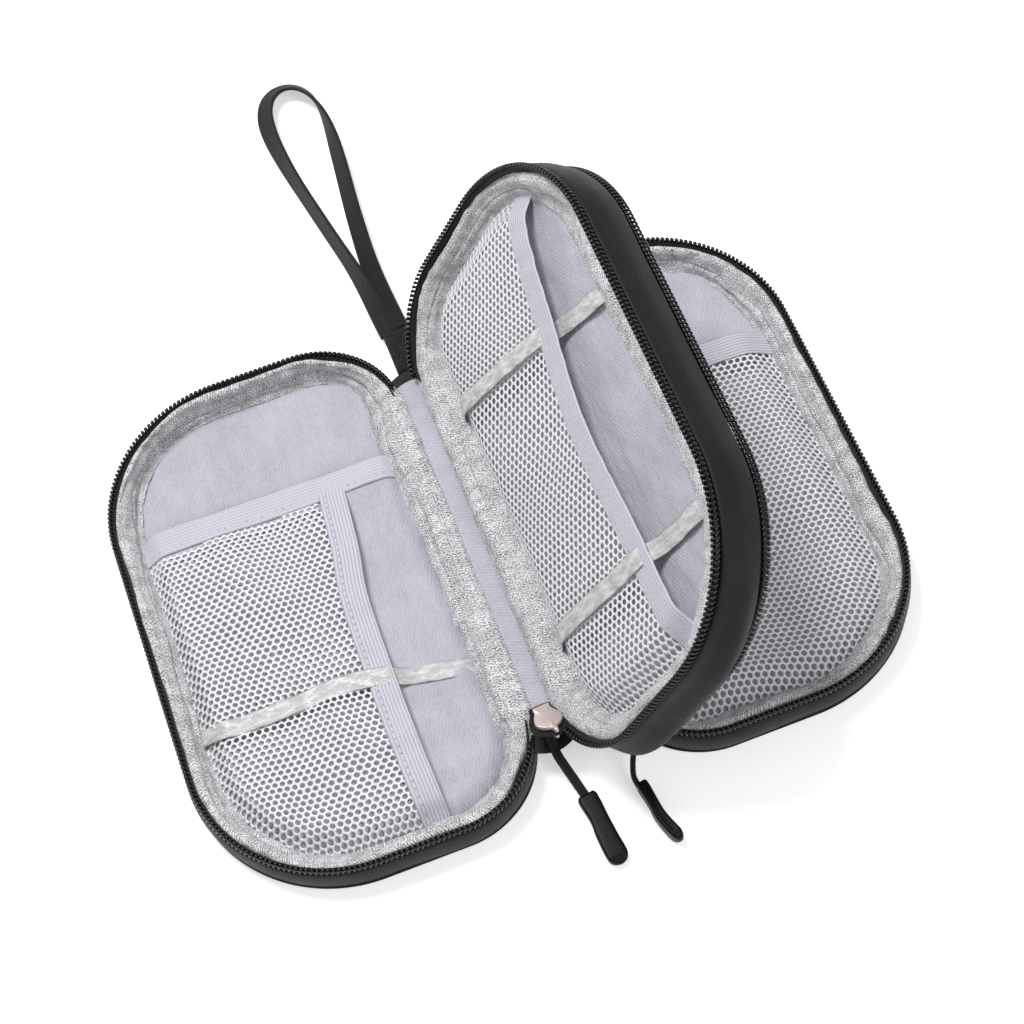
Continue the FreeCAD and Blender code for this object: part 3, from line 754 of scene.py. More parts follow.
def cell_numbers(used):
    """For each used cell, the numbers of the cells east, north-east and north-west of it, or -1."""
    number = np.full(used.shape, -1)
    number[used] = np.arange(used.sum())
    row, column = np.nonzero(used)
    odd = row % 2
    found = []
    for up, aside in ((0, 1), (1, odd), (1, odd - 1)):
        r, c = row + up, column + aside
        inside = (r < used.shape[0]) & (c >= 0) & (c < used.shape[1])
        neighbour = np.full(len(row), -1)
        neighbour[inside] = number[r[inside], c[inside]]
        found.append(neighbour)
    return found


def net_faces(used):
    """Threads between neighbouring holes, as quads, and where three holes meet, as six-sided faces."""
    own = np.arange(used.sum())
    east, north_east, north_west = cell_numbers(used)
    threads = (((own, 11), (east, 6), (east, 5), (own, 0)),
               ((own, 1), (north_east, 8), (north_east, 7), (own, 2)),
               ((own, 3), (north_west, 10), (north_west, 9), (own, 4)),
               ((own, 2), (north_east, 7), (north_east, 6), (north_west, 11), (north_west, 10), (own, 3)),
               ((own, 0), (east, 5), (east, 4), (north_east, 9), (north_east, 8), (own, 1)))
    faces = []
    for corners in threads:
        face = np.stack([cell * HOLE_POINTS + corner for cell, corner in corners], -1)
        faces += face[(face >= 0).all(1)].tolist()
    return faces


def netting(prefix, leaf, height, wanted, lattice, seed):
    """Knitted net: a thin thread round staggered holes, over a height for each (u, v). The lattice is the
    distance along a row of holes, the distance between rows and the rows' direction."""
    pitch, row_pitch, turn = lattice
    cosine, sine = math.cos(math.radians(turn)), math.sin(math.radians(turn))
    reach = int(LENGTH / row_pitch)
    rows, columns = np.meshgrid(np.arange(2 * reach), np.arange(2 * reach), indexing="ij")
    x = pitch * (columns - reach + 0.5 * (rows % 2))
    y = row_pitch * (rows - reach)
    u = WIDTH / 2 + x * cosine - y * sine
    v = x * sine + y * cosine
    used = wanted(u, v)
    hole = hole_outline(pitch, row_pitch)
    cu = u[used][:, None] + hole[:, 0] * cosine - hole[:, 1] * sine
    cv = v[used][:, None] + hole[:, 0] * sine + hole[:, 1] * cosine
    warp_u, warp_v = ripples(seed, 6, 30, 80), ripples(seed + 1, 6, 30, 80)
    cu, cv = cu + 1.1 * warp_u(cu, cv), cv + 1.1 * warp_v(cu, cv)
    points = np.stack([cu, cv, height(cu, cv)], -1).reshape(-1, 3)
    faces = net_faces(used)
    held = np.unique(np.concatenate(faces))
    renumber = np.full(len(points), -1)
    renumber[held] = np.arange(len(held))
    faces = [renumber[face[::-1] if mirrored(leaf) else face].tolist() for face in faces]
    points = points[held]
    piece = add_mesh(prefix + "_net", to_world(leaf, points), faces, points[np.concatenate(faces), :2], NET)
    length = v[used].max() - v[used].min()
    cut_cloth(piece, used.sum() * pitch * row_pitch / length)
    ride(thicken(piece, 0.3, offset=0.0), leaf[0], prefix + "_mesh_pocket")


def band_on(name, leaf, line, width, surface, lift, thickness, material, ruffle, seed, ribs=0, edge_drop=0.0):
    """A band that lies on a surface along a line of (u, v) points."""
    t, share = flat_section(42 if ribs else 18, 10)
    across = t * width / 2
    rise = thickness / 2 * share
    if ribs:
        rise = rise + 0.18 * np.maximum(share, 0) * (0.5 + 0.5 * np.cos(TURN * ribs * (t / 2 + 0.5)))
    waves = ripples(seed, 8, 5, 13, heading=0, spread=0.3)
    run = lengths_along(line)
    flat = line[:, None, :] + left_of(tangents(line))[:, None, :] * across[None, :, None]
    n = surface(flat[..., 0], flat[..., 1]) + lift + rise[None, :]
    n = n + ruffle * waves(run[:, None], across[None, :]) - edge_drop * (t[None, :]) ** 2
    world = to_world(leaf, np.concatenate([flat, n[..., None]], -1))
    return add_grid(name, world, run, np.append(across, across[0]), material, wrap_columns=True,
                    flip=not mirrored(leaf))


def stitch_row(name, leaf, line, surface, lift, pitch=2.6, long=1.0, wide=0.55, material=THREAD):
    """Single stitches along a line of (u, v) points, each a short rounded thread."""
    run = lengths_along(line)
    centres = np.arange(pitch, run[-1] - pitch, pitch)
    at, ahead = (np.stack([np.interp(centres + step, run, line[:, k]) for k in (0, 1)], -1)
                 for step in (0.0, 0.5))
    ahead = unit(ahead - at)
    aside = left_of(ahead)
    outline = [(-0.5, 0, -0.5), (-0.36, 0.7, 0.2), (0, 1, 0.6), (0.36, 0.7, 0.2), (0.5, 0, -0.5)]
    quads = grid_faces(len(outline), 3)[0]
    if not mirrored(leaf):
        quads = quads[:, ::-1]
    points, faces = [], []
    for k in range(len(centres)):
        faces += (quads + len(points)).tolist()
        for along, half, rise in outline:
            for sign in (-1, 0, 1):
                place = at[k] + ahead[k] * along * long + aside[k] * sign * half * wide / 2
                share = rise if sign == 0 else min(rise, 0.0) - 0.3
                n = surface(place[0], place[1]) + lift + share * wide * 0.5
                points.append((place[0], place[1], n))
    points = np.array(points)
    return add_mesh(name, to_world(leaf, points), faces, points[np.concatenate(faces), :2], material)


def curve_line(*points, least=4.0, count=160):
    """A smooth line through (u, v) points, kept where it is at least so deep inside the rim."""
    line = through(points, count)
    line = line[depth(line[:, 0], line[:, 1]) > least]
    return evenly(line, max(12, int(lengths_along(line)[-1] / 1.1)))


def edging(name, node, leaf, line, surface, lift, ruffle, seed, stitches, aside, stitch_lift, width=EDGING):
    """Ribbed elastic over a pocket's edge, with a row of stitches along it."""
    band = band_on(name, leaf, line, width, surface, lift, 0.8, ELASTIC, ruffle, seed, ribs=8)
    ride(band, leaf[0], node)
    line = line + left_of(tangents(line)) * aside
    ride(stitch_row(stitches, leaf, line, surface, stitch_lift), leaf[0])


def ribbon_on(name, node, leaf, line, surface, seed):
    """A satin ribbon stretched over what it lies on."""
    under = surface(line[:, 0], line[:, 1])
    kernel = np.exp(-np.linspace(-2.4, 2.4, 15) ** 2)
    padded = np.pad(under, 7, mode="edge")
    tight = np.maximum(np.convolve(padded, kernel / kernel.sum(), mode="valid"), under)
    creases = ripples(seed, 8, 5, 16)
    waves = ripples(seed + 1, 6, 14, 40)
    run = lengths_along(line)

    def height(u, v):
        away = [line[:, k, None, None] - place[None] for k, place in enumerate((u, v))]
        nearest = np.argmin(away[0] ** 2 + away[1] ** 2, 0)
        return tight[nearest] + 0.22 * waves(run[nearest], v) + 0.12 * creases(u, v)

    ride(band_on(name, leaf, line, RIBBON, height, 0.6, 0.3, SATIN, 0.18, seed, edge_drop=0.2), leaf[0], node)


# ------------------------------------------------------------------ surfaces of the pockets

panel_waves = ripples(31, 9, 22, 60)
panel_folds = ripples(32, 8, 9, 20, heading=65, spread=0.5)
net_waves = ripples(33, 7, 30, 80)
floor_waves = ripples(34, 8, 18, 60)
floor_folds = ripples(35, 9, 7, 18, heading=70, spread=0.5)


def cover_floor(u, v):
    return COVER_FLOOR + np.maximum(0.15 + 0.3 * floor_waves(u, v) + 0.16 * floor_folds(u, v), 0.05)


def front_panel(u, v):
    rise = smooth((depth(u, v) - 7.5) / 8)
    return COVER_FLOOR + 0.2 + rise * (4.4 + 0.75 * panel_waves(u, v) + 0.28 * panel_folds(u, v))


def front_net(u, v):
    rise = smooth((depth(u, v) - 7.5) / 11) * smooth((39.0 - v) / 12)
    return front_panel(u, v) + 0.5 + rise * (3.0 + 0.5 * net_waves(u, v))


def rear_net(u, v):
    rise = smooth((depth(u, v) - 7.0) / 13)
    return COVER_FLOOR + 0.3 + rise * (6.4 + 0.5 * net_waves(v, u))


def middle_floor(u, v):
    return LEAF_FLOOR + np.maximum(0.5 + 0.4 * floor_waves(v, u) + 0.2 * floor_folds(v, u), 0.1)


def middle_net(u, v):
    rise = smooth((depth(u, v) - 7.5) / 12)
    return LEAF_FLOOR + 0.3 + rise * (5.4 + 0.45 * net_waves(u + 40, v))


def front_ribbon_rest(u, v):
    """What the front ribbon lies on: the net, its elastic and the cloth beside it."""
    share = smooth((u - 33.5) / 4.0)
    return front_net(u, v) * share + front_panel(u, v) * (1 - share) + 0.8 * share * smooth((46 - u) / 2)


def middle_ribbon_rest(u, v):
    share = smooth((72.0 - u) / 6.0)
    return middle_net(u, v) * share + (middle_floor(u, v) + 1.0) * (1 - share) + 0.8 * share


# ------------------------------------------------------------------ the leaves

def cover(side, leaf, slider_at, wall_seed, steep):
    """What both covers have: shell, zip, floor and padded wall."""
    cover_shell(side, leaf)
    zipper(side, leaf, COVER_WALL, 1, slider_at + PARKED_LENGTH)
    floor = polar_cloth(side + "_floor_cloth", leaf, 4.0, cover_floor, LINING)
    ride(thicken(floor, 0.3), leaf[0], side + "_lining")
    wall_lining(side, leaf, COVER_WALL, COVER_FLOOR, 1, wall_seed, steep)


def pocket_cloth(low_v, high_v, inset, step=1.3):
    """The cloth behind the front pocket's net, across the cover between two v values."""
    v = np.linspace(low_v, high_v, int((high_v - low_v) / step))[:, None]
    left = SPINE_CORNER - corner_reach(v, CORNER_V, SPINE_CORNER - inset)
    right = FAR_U + corner_reach(v, OUTER_V, OUTER_CORNER - inset)
    u = left + (right - left) * np.linspace(0, 1, 84)
    v = np.broadcast_to(v, u.shape)
    world = to_world(FRONT, np.stack([u, v, front_panel(u, v)], -1))
    piece = add_grid("front_pocket_cloth", world, u, v, LINING)
    cut_cloth(piece, WIDTH - 2 * inset)
    ride(thicken(piece, 0.35), "front_cover", "front_pocket_panel")


def front_cover():
    cover("front", FRONT, FRONT_SLIDER_AT, 41, 1.0)
    pocket_cloth(-89.0, 46.0, 5.5)
    edge = curve_line((108, 42.6), (80, 43.2), (50, 42.4), (25, 42.8), (2, 42.3))
    edging("front_pocket_elastic", "front_pocket_trim", FRONT, edge, front_panel, 0.75, 0.12, 5,
           "front_stitches_top", 2.5, 1.28)
    netting("front", FRONT, front_net, lambda u, v: (depth(u, v) > 6.5) & (v < 39.5) & (u > 37.5),
            (2.5, 1.98, 4), 51)
    edge = curve_line((34.0, 41), (36.4, 16), (39.3, -3), (40.2, -31), (40.2, -60), (39.3, -92))
    edging("front_net_elastic", "front_mesh_trim", FRONT, edge, front_net, 0.55, 0.14, 6,
           "front_stitches_side", 2.5, 1.28, width=9.2)
    line = curve_line((108, -27.5), (90, -32.6), (70, -32.2), (53, -32), (36, -35), (11.5, -39.5), (2, -41.3))
    ribbon_on("front_satin", "front_ribbon", FRONT, line, front_ribbon_rest, 7)


def rear_cover():
    cover("rear", REAR, REAR_SLIDER_AT, 45, 0.8)
    netting("rear", REAR, rear_net, lambda u, v: (depth(u, v) > 6.5) & (v < 37.0), (2.5, 1.9, -12), 53)
    edge = curve_line((2, 38.9), (40, 38.9), (75, 39.6), (108, 39.0))
    edging("rear_net_elastic", "rear_mesh_trim", REAR, edge, rear_net, 0.55, 0.12, 8,
           "rear_stitches", -2.5, 1.08)


def middle_leaf():
    half = LEAF_WALL / 2
    section = through(((2.4, -half + 1.6), (1.9, -half - 0.1), (1.0, -half - 0.35), (0.35, -half + 0.5),
                       (-0.1, -4.2), (-0.45, 0.0), (-0.1, 4.2), (0.35, half - 0.5), (1.0, half + 0.35),
                       (1.9, half + 0.1), (2.4, half - 1.6)), 34)
    soft = ripples(15, 9, 20, 70)

    def sag(s, t):
        end = smooth((s - 16) / 22) * (1 - smooth((s - 80) / 45))
        return 0.14 * soft(s, t) + 3.2 * end * bell(t, 7.5, 4.2)

    gusset = sweep_rim("middle_gusset_band", MIDDLE, round_loop(1.6), section, NYLON, relief=sag, flip=True)
    ride(gusset, "middle_leaf", "middle_gusset")
    cut_cloth(gusset, lengths_along(section)[-1])
    for prefix, sign, seed in (("middle_front", 1, 61), ("middle_rear", -1, 65)):
        zipper(prefix, MIDDLE, half, sign, COIL_START)
        wall_lining(prefix, MIDDLE, half, LEAF_FLOOR, sign, seed, 0.3, 0.8)
        floor = polar_cloth(prefix + "_cloth", MIDDLE, 4.0, lambda u, v, k=sign: k * middle_floor(u, v),
                            LINING, face_up=sign > 0)
        ride(thicken(floor, 0.3), "middle_leaf", prefix + "_lining")
    edge = curve_line((70, -96), (66.5, -80), (65.6, -50), (64.6, -23), (65.4, 0), (67.8, 20), (71, 37),
                      (75, 56), (81.5, 78), (87, 93))
    edging("middle_net_elastic", "middle_mesh_trim", MIDDLE, edge, middle_net, 0.55, 0.14, 9,
           "middle_stitches", 2.5, 1.08)

    def wanted(u, v):
        return (depth(u, v) > 6.5) & (u < np.interp(v, edge[:, 1], edge[:, 0]) + 1.5)

    netting("middle", MIDDLE, middle_net, wanted, (2.65, 2.2, -8), 57)
    for end, points, seed in (("upper", ((1.0, 46.6), (55, 34.5), (109, 21.2)), 71),
                              ("lower", ((1.0, -47.7), (55, -53.2), (109, -57.8)), 74)):
        ribbon_on("middle_satin_" + end, "middle_ribbon_" + end, MIDDLE, curve_line(*points),
                  middle_ribbon_rest, seed)


# ------------------------------------------------------------------ the spine

STRIP_COLUMNS = 25
# for each cloth of a strip: depth under the folds, -Y and +Y ends, rounding of its corners
STRIP_CLOTHS = {"lining": (LINING, -0.25, (66.5, 70.5), 2.4), "fabric": (NYLON, 0.5, (79.0, 75.0), 3.5)}


def strip_grid(start, end, under, ends, rounding):
    """Points of a strip from fold to fold: a sagging section, drawn out along the spine. Its sides keep to
    the leaves where their corners turn away from the spine."""
    along = unit(end - start)
    up = np.cross(along, Y_AXIS)
    up = up if up[2] > 0 else -up
    across = np.linspace(-1, 1, STRIP_COLUMNS)[None, :]
    v = np.linspace(-ends[0], ends[1], 110)[:, None]
    half = SPINE_STRIP / 2 + 1.0 + SPINE_CORNER - corner_reach(v, CORNER_V, SPINE_CORNER)
    limit = np.where(v < 0, ends[0], ends[1])
    v_bent = v - np.sign(v) * rounding * across ** 2 * smooth((np.abs(v) - limit + 12) / 12)
    sag = (0.75 + 0.05 * np.maximum(np.abs(v) - CORNER_V, 0)) * (1 - across ** 2)
    rise = 0.16 * ripples(81, 8, 8, 30)(v, across * 5) - sag - under
    points = (start + end) / 2 + (across * half)[..., None] * along + v_bent[..., None] * Y_AXIS
    return points + rise[..., None] * up, v_bent, across * half


def spine_strip(name, bodies, start, end):
    """Both cloths of a strip, each in two halves, baked in place in the world."""
    middle = STRIP_COLUMNS // 2
    halves = ((slice(0, middle + 1), start, "a"), (slice(middle, None), end, "b"))
    for cloth, (material, under, ends, rounding) in STRIP_CLOTHS.items():
        points, v, x = strip_grid(start, end, under, ends, rounding)
        for (columns, fold, letter), pair in zip(halves, zip(bodies, bodies[1:])):
            piece = add_grid("%s_%s_%s" % (name, cloth, letter), points[:, columns] * MM, v[:, columns],
                             x[:, columns], material, flip=True)
            if cloth == "fabric":
                thicken(piece, 0.4).modifiers["thickness"].use_rim = False
            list(pair)
            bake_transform(piece)
            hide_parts(bodies[1] + "_" + cloth)


# ------------------------------------------------------------------ sliders and pulls

SLIDER_LEVEL = LEAF_WALL / 2 + SPINE_STRIP / 2
COIL_ARC = SPINE_CORNER - COIL_INSET
SLIDER_CLEAR = 1.3
SLIDER_PLATE = 0.9
BRIDGE_HOLE = 1.8
# half of the plate's outline: distance along the way of travel, half width
SHIELD = ((-5.1, 0.0), (-5.1, 1.4), (-5.05, 2.7), (-4.6, 2.85), (-3.2, 2.95), (-1.4, 4.0), (0.6, 4.65),
          (2.4, 4.1), (4.0, 2.2), (4.7, 0.85), (6.3, 0.6), (6.6, 0.0))
# a plate's layers: share of the outline, height over its inner face
PLATE = ((0.82, 0.0), (0.84, -0.75), (0.97, -0.8), (1.0, -0.6), (1.0, 0.62), (0.96, 0.84), (0.7, 0.98),
         (0.3, 1.06))
BRIDGE_OFF = SLIDER_CLEAR + SLIDER_PLATE + BRIDGE_HOLE / 2
SLIDER_TURN = {"front": 16.5, "rear": REAR_SLIDER_AT}
SLIDER_SITS = {"front": SLIDER_LEVEL + 1.1, "rear": -SLIDER_LEVEL}
SLIDER_LEAN = {"front": 26.0, "rear": 0.0}      # degrees that it tips over, about the cord's loop
CORD_GAP = 0.72             # from the pull's middle line to each half of the cord
CORD_RADIUS = 0.84


def slider_place(side):
    """A function from (along the travel, off the rim, n) on the slider to world points in metres."""
    turn = math.radians(SLIDER_TURN[side])
    lean = math.radians(SLIDER_LEAN[side])
    outward = np.array([-math.cos(turn), -math.sin(turn)])
    travel = np.array([math.sin(turn), -math.cos(turn)])
    centre = np.array([SPINE_CORNER, -CORNER_V]) + outward * COIL_ARC

    def place(along, off, n):
        tipped = BRIDGE_OFF + (off - BRIDGE_OFF) * math.cos(lean) + n * math.sin(lean)
        raised = n * math.cos(lean) - (off - BRIDGE_OFF) * math.sin(lean)
        flat = centre + travel * along + outward * (tipped - along * along / (2 * COIL_ARC))
        return to_world(MIDDLE, np.array([flat[0], flat[1], SLIDER_SITS[side] + raised]))

    return place


def shield_outline():
    outline = SHIELD + tuple((a, -b) for a, b in reversed(SHIELD[1:-1]))
    return through(outline + outline[:1], 73)[:-1]


def tape_end(side, margin):
    """The ends of both tapes, sewn together where the slider parks between them."""
    place = slider_place(side)
    outline = shield_outline()
    outline = outline[outline[:, 0] < 5.2]
    outline = outline * (1 + margin / np.linalg.norm(outline, axis=1, keepdims=True))
    rings = np.linspace(0.05, 1, 9)
    points = np.array([[place(a * ring, 0.25, b * ring) for ring in rings] for a, b in outline])
    piece = add_grid(side + "_tape_end", points, np.arange(len(outline) + 1) * 0.4, rings * 5, TAPE,
                     wrap_rows=True)
    ride(thicken(piece, 0.5, offset=0.0), "middle_leaf", "middle_%s_zip_tape" % side)


def bridge_rings(place):
    """An arch over the outer plate, with room for the cord's loop."""
    foot, knee, top = (SLIDER_CLEAR + SLIDER_PLATE + rise for rise in (-0.3, 0.9, 2.35))
    arch = through(((-2.7, foot), (-2.6, knee), (-2.1, top - 0.35), (-1.1, top), (1.1, top),
                    (2.1, top - 0.35), (2.6, knee), (2.7, foot)), 24)
    rings = []
    for centre, aside in zip(arch, left_of(tangents(arch))):
        corners = ((-0.38, 0.7425), (-0.38, -0.7425), (0.38, -0.7425), (0.38, 0.7425))
        rings.append([place(*(centre + aside * thick), wide) for thick, wide in corners])
    return rings


def add_slider(side):
    """Two shield plates joined by a post, with the pull's bridge on the outer one."""
    place = slider_place(side)
    outline = shield_outline()
    solids = [[[place(a * share, out * (SLIDER_CLEAR + height), b * share) for a, b in outline]
               for share, height in PLATE[::out]] for out in (-1, 1)]
    post = SLIDER_CLEAR + 0.2
    corners = ((-post, -0.55), (post, -0.55), (post, 0.55), (-post, 0.55))
    solids.append([[place(along, off, n) for off, n in corners] for along in (0.4, 3.4)])
    solids.append(bridge_rings(place))
    points, faces = [], []
    for rings in solids:
        rows, columns = len(rings), len(rings[0])
        ring = list(range(columns))
        ends = [ring[::-1], [(rows - 1) * columns + k for k in ring]]
        for face in grid_faces(rows, columns, wrap_columns=True)[0].tolist() + ends:
            faces.append([len(points) + corner for corner in face])
        points += [point for ring in rings for point in ring]
    points = np.array(points)
    piece = add_mesh(side + "_slider", points, faces, points[np.concatenate(faces), :2] / MM, METAL)
    piece.data.set_sharp_from_angle(angle=math.radians(40))
    bevel = piece.modifiers.new("edges", "BEVEL")
    bevel.width = 0.12 * MM
    bevel.segments = 2
    bevel.limit_method = "ANGLE"
    ride(piece, side + "_slider", side + "_slider_body")


def nurbs_path(name, points):
    """Points along a NURBS spline with the given control points, in metres."""
    curve = bpy.data.curves.new(name, "CURVE")
    curve.dimensions = "3D"
    spline = curve.splines.new("NURBS")
    spline.points.add(len(points) - 1)
    for point, place in zip(spline.points, points):
        point.co = (*place, 1.0)
    spline.order_u = 3
    spline.use_endpoint_u = True
    curve.resolution_u = 24
    holder = bpy.data.objects.new(name, curve)
    mesh = bpy.data.meshes.new_from_object(holder)
    path = np.array([vertex.co for vertex in mesh.vertices], float)
    bpy.data.objects.remove(holder)
    bpy.data.curves.remove(curve)
    bpy.data.meshes.remove(mesh)
    return path


FRONT_CORD = ((0.0578, -0.0776, 0.0092), (0.0598, -0.0846, 0.0056), (0.0617, -0.0916, 0.0032),
              (0.0634, -0.1, 0.0023), (0.0636, -0.114, 0.0023))
REAR_CORD = ((0.0782, -0.0926, 0.0054), (0.0788, -0.0978, 0.0036), (0.0809, -0.105, 0.0035),
             (0.0826, -0.1162, 0.0035))
FRONT_GRIP = ((0.0624, -0.0936, 0.0023), (0.0636, -0.1012, 0.0023), (0.0636, -0.1095, 0.0023),
              (0.0648, -0.1188, 0.0023))
REAR_GRIP = ((0.0799, -0.097, 0.0035), (0.081, -0.104, 0.0035), (0.0814, -0.111, 0.0035),
             (0.0848, -0.119, 0.0035))
STRAP = ((0.064, 0.097, 0.0048), (0.0627, 0.119, 0.0042), (0.0648, 0.151, 0.0036), (0.0686, 0.184, 0.0037),
         (0.0694, 0.202, 0.0044), (0.0675, 0.214, 0.0046), (0.0624, 0.2212, 0.004), (0.0554, 0.2224, 0.0034),
         (0.0496, 0.2172, 0.0034), (0.0469, 0.206, 0.0036), (0.0482, 0.185, 0.0038), (0.0534, 0.153, 0.0036),
         (0.0589, 0.122, 0.003), (0.0609, 0.097, 0.0034))
# how far round the strap, and the degrees that its face is turned there
STRAP_TURNS = ((0.0, 8), (0.1, 34), (0.3, 46), (0.37, 58), (0.43, 100), (0.48, 146), (0.55, 152), (0.63, 128),
               (0.70, 113), (0.86, 113), (0.94, 142), (1.0, 172))


def doubled_cord(name, path, flat_side):
    """A cord folded in two: down one side of the path, round its start and back on the other side."""
    run = lengths_along(path) / MM
    side, _ = frames_along(path, flat_side)
    bend = 2.2
    share = np.sqrt(1 - (1 - np.clip(run / bend, 0, 1)) ** 2)
    loop = 1 + 0.35 * bell(run, 2.0, 1.8)
    away = side * (CORD_GAP * MM * share * loop)[:, None]
    curve = evenly(np.vstack([(path + away)[::-1], (path - away)[1:]]), 260)
    side, top = frames_along(curve, flat_side)
    run = lengths_along(curve) / MM
    sides = 14
    angle = np.arange(sides) * TURN / sides
    twist = TURN * run[:, None] / 2.2
    radius = CORD_RADIUS + 0.06 * np.sin(3 * angle + twist) * np.sin(3 * angle - twist)
    ring = side[:, None, :] * np.cos(angle)[None, :, None] + top[:, None, :] * np.sin(angle)[None, :, None]
    ring[[0, -1]] *= 0.3
    points = curve[:, None, :] + ring * radius[..., None] * MM
    around = np.arange(sides + 1) * TURN / sides * CORD_RADIUS
    return add_grid(name, points, run, around, CORD, flip=True, tube=True)


def grip(name, path, wide, high, groove):
    """A moulded rubber grip: square where the cord enters, waisted, with a rounded end."""
    curve = evenly(path, 64)
    side, up = frames_along(curve)
    share = np.linspace(0, 1, len(curve))
    waist = 1.0 - 0.10 * bell(share, 0.34, 0.16) + 0.05 * bell(share, 0.8, 0.14)
    tip = np.sqrt(np.clip(1 - (np.clip(share - 0.87, 0, 1) / 0.132) ** 2, 0.0, 1))
    mouth = 1 - 0.16 * bell(share, 0, 0.022)
    angle = np.arange(40) * TURN / 40
    squareness = 0.4
    cross_x, cross_y = (np.sign(way) * np.abs(way) ** squareness for way in (np.cos(angle), np.sin(angle)))
    width = wide / 2 * waist * tip * mouth
    height = high / 2 * (0.98 - 0.1 * share) * np.maximum(tip, 0.25) * mouth
    dent = groove * bell(cross_x, 0, 0.34) * np.sign(cross_y)
    body = smooth((share - 0.05) / 0.1) * smooth((0.93 - share) / 0.1)
    off_side = width[:, None] * cross_x[None, :]
    off_up = height[:, None] * cross_y[None, :] - body[:, None] * dent[None, :]
    off = side[:, None, :] * off_side[..., None] + up[:, None, :] * off_up[..., None]
    return add_grid(name, curve[:, None, :] + off * MM, lengths_along(curve) / MM, np.arange(41) * 0.4,
                    RUBBER, flip=True, tube=True)


def pull(side, route, grip_route, size, flat_side, groove):
    """A doubled cord from the slider's bridge into its grip."""
    pivot = tuple(slider_place(side)(0.0, BRIDGE_OFF, 0.0))
    path = evenly(nurbs_path(side + "_route", (pivot,) + route), 120)
    cord = doubled_cord(side + "_pull_cord_braid", path, flat_side)
    handle = grip(side + "_pull_rubber", nurbs_path(side + "_grip_route", grip_route), *size, groove)
    ride(cord, side + "_pull", side + "_pull_cord")
    ride(handle, side + "_pull", side + "_pull_grip")
    lengths_along(path)[-1]


# ------------------------------------------------------------------ wrist strap

def wrist_strap():
    """Flat webbing, folded on itself: it turns over once on its way round the loop."""
    path = evenly(nurbs_path("strap_route", STRAP), 300)
    run = lengths_along(path) / MM
    tangent = tangents(path)
    level, _ = frames_along(path)
    tilt = np.radians(np.interp(run / run[-1], *zip(*STRAP_TURNS)))
    tilt = np.convolve(np.pad(tilt, 12, mode="edge"), np.ones(25) / 25, mode="valid")
    across = level * np.cos(tilt)[:, None] + Z_AXIS * np.sin(tilt)[:, None]
    facing = np.cross(across, tangent)
    half, thick = 4.0, 0.62
    t, share = flat_section(17, 8)
    rise = share * (thick + 0.14 * bell(np.abs(t), 0.8, 0.1))
    points = (path[:, None, :] + across[:, None, :] * (t * half)[None, :, None] * MM
              + facing[:, None, :] * rise[None, :, None] * MM)
    points[..., 2] = np.maximum(points[..., 2], 0.2 * MM)
    piece = add_grid("strap_band", points, run, np.append(t, t[0]) * half, WEBBING, flip=True, tube=True)
    ride(piece, "wrist_strap", "strap_webbing")


def sewn_block(low, high):
    """Two layers of folded webbing with soft edges, where the strap's ends meet."""
    centre, size = (low + high) / 2, (high - low) / 2
    grid_b, grid_a = np.meshgrid(np.linspace(-1, 1, 48), np.linspace(-1, 1, 26), indexing="ij")
    edge = np.sqrt(np.clip(1 - np.abs(grid_a) ** 7, 0, 1) * np.clip(1 - np.abs(grid_b) ** 14, 0, 1))
    pieces = []
    for layer in (0, 1):
        for face in (1, -1):
            n = low[2] + size[2] * (layer + 0.5) + face * size[2] / 2 * 0.98 * edge
            x = centre[0] + grid_a * size[0] * (1 - 0.03 * layer)
            points = np.stack([x, centre[1] + grid_b * size[1], n], -1)
            pieces.append(add_grid("strap_block_%d" % len(pieces), points * MM, grid_b * size[1],
                                   grid_a * size[0], WEBBING, flip=face > 0))
    ride(join("strap_sewn_block", pieces), "wrist_strap", "strap_stitch_block")


def block_stitches(low, high):
    """A sewn box with a cross in it."""
    x0, x1, y0, y1 = low[0] + 1.4, high[0] - 1.4, low[1] + 2.0, high[1] - 2.0
    lines = [((x0, y0), (x1, y0)), ((x1, y0), (x1, y1)), ((x1, y1), (x0, y1)), ((x0, y1), (x0, y0)),
             ((x0, y0), (x1, y1)), ((x1, y0), (x0, y1))]
    world = ("", np.zeros(3), np.array([1.0, 0, 0]), Z_AXIS)
    rows = []
    for k, line in enumerate(lines):
        line = evenly(np.array(line, float), 60)
        rows.append(stitch_row("strap_block_stitches_%d" % k, world, line, lambda x, y: high[2] + 0.05, 0.0,
                               pitch=1.7, long=1.3, wide=0.5, material=DARK_THREAD))
    ride(join("strap_block_stitches", rows), "wrist_strap")


def strap_tab():
    """The tape that ties the strap's block to the spine."""
    middle = (FOLD_1 + FOLD_2) / 2
    line = through(((68.5, middle[2] - 2.2), (71.0, middle[2] - 1.9), (73.8, 8.7), (77.0, 5.6)), 40)
    t, share = flat_section(11, 6)
    half, thick = 2.7, 0.75
    off = left_of(tangents(line))[:, None, :] * (share * thick)[None, :, None]
    x = np.broadcast_to(middle[0] + 0.7 + t * half, off.shape[:2])
    points = np.concatenate([x[..., None], line[:, None, :] + off], -1)
    piece = add_grid("strap_tab_tape", points * MM, lengths_along(line), np.append(t, t[0]) * half, WEBBING,
                     tube=True)
    ride(piece, "front_spine", "strap_tab")


# ------------------------------------------------------------------ build

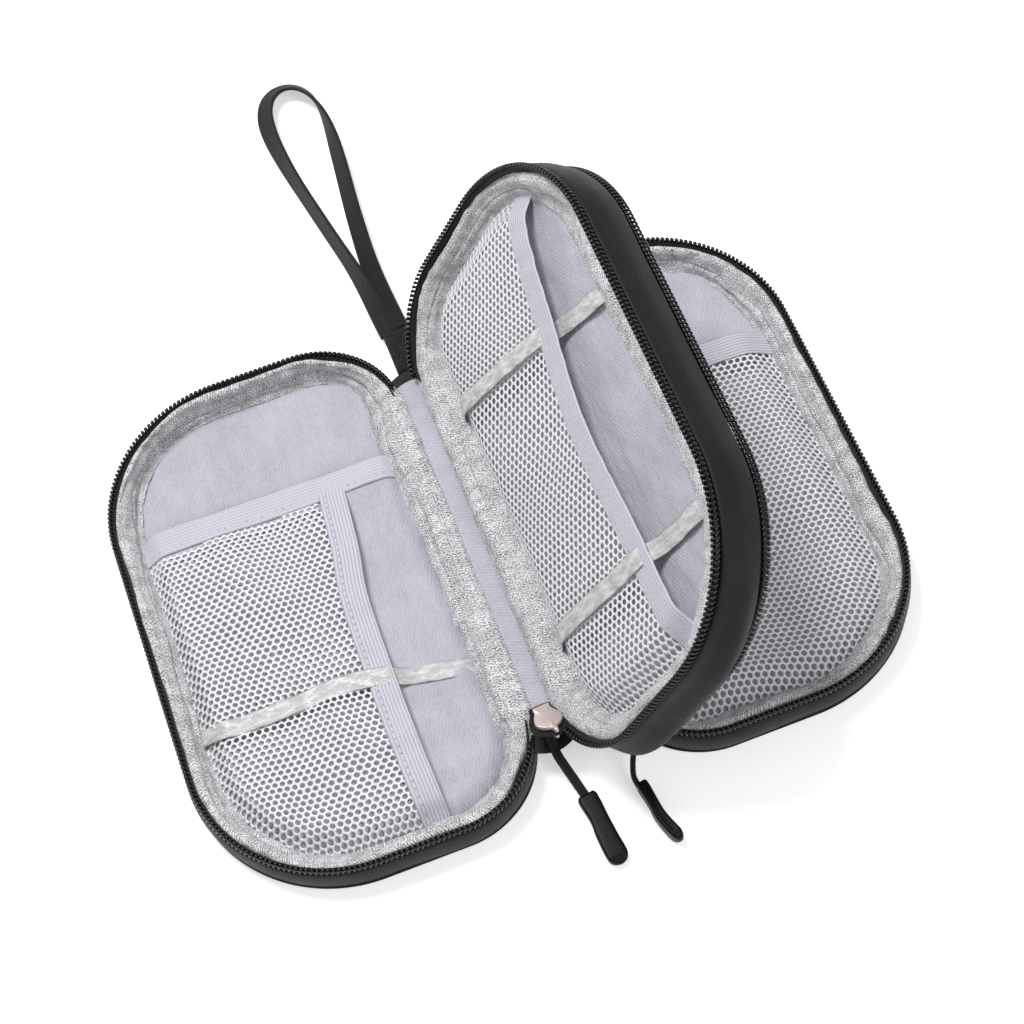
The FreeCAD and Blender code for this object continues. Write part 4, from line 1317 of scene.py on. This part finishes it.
front_cover()
rear_cover()
middle_leaf()
spine_strip("front_strip", ("front_cover", "front_spine", "middle_leaf"), FOLD_1, FOLD_2)
spine_strip("rear_strip", ("middle_leaf", "rear_spine", "rear_cover"), FOLD_3, FOLD_4)
add_slider("front")
add_slider("rear")
tape_end("front", 1.7)
pull("front", FRONT_CORD, FRONT_GRIP, (6.7, 3.9), Z_AXIS, 0.0)
pull("rear", REAR_CORD, REAR_GRIP, (3.9, 6.4), np.array([1.0, 0, 0]), 0.35)
wrist_strap()
BLOCK = (np.array((57.9, 78.2, 2.2)), np.array((67.1, 96.85, 6.2)))
sewn_block(*BLOCK)
block_stitches(*BLOCK)
strap_tab()

for node in ("front_foam_board", "rear_foam_board", "middle_board"):
    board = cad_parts[node]
    board.data.materials.clear()
    board.data.materials.append(BOARD)


# ------------------------------------------------------------------ stage and light

def stage():
    mesh = bpy.data.meshes.new("floor")
    reach = 6.0
    mesh.from_pydata([(-reach, -reach, 0), (reach, -reach, 0), (reach, reach, 0), (-reach, reach, 0)], [],
                     [(0, 1, 2, 3)])
    floor = bpy.data.objects.new("floor", mesh)
    floor.location.z = -0.0002
    bpy.context.scene.collection.objects.link(floor)
    material = bpy.data.materials.new("floor_white")
    material.use_nodes = True
    shader = material.node_tree.nodes["Principled BSDF"]
    for socket, value in (("Base Color", (0.88, 0.88, 0.88, 1)), ("Roughness", 0.9),
                          ("Emission Color", (1, 1, 1, 1)), ("Emission Strength", 0.45)):
        shader.inputs[socket].default_value = value
    mesh.materials.append(material)
    world = bpy.data.worlds.new("studio")
    world.use_nodes = True
    background = world.node_tree.nodes["Background"]
    background.inputs["Color"].default_value = (1, 1, 1, 1)
    background.inputs["Strength"].default_value = 0.4
    bpy.context.scene.world = world


def area_light(name, place, size, power):
    data = bpy.data.lights.new(name, "AREA")
    data.shape = "DISK"
    data.size = size
    data.energy = power
    light = bpy.data.objects.new(name, data)
    bpy.context.scene.collection.objects.link(light)
    light.location = place
    light.rotation_euler = (Vector((0.07, 0.0, 0.02)) - Vector(place)).to_track_quat("-Z", "Y").to_euler()


stage()
area_light("key", (-0.2, 0.5, 1.2), 0.5, 15.0)
area_light("fill", (0.6, -0.8, 1.1), 0.8, 6.0)
bpy.context.scene.view_settings.view_transform = "Standard"
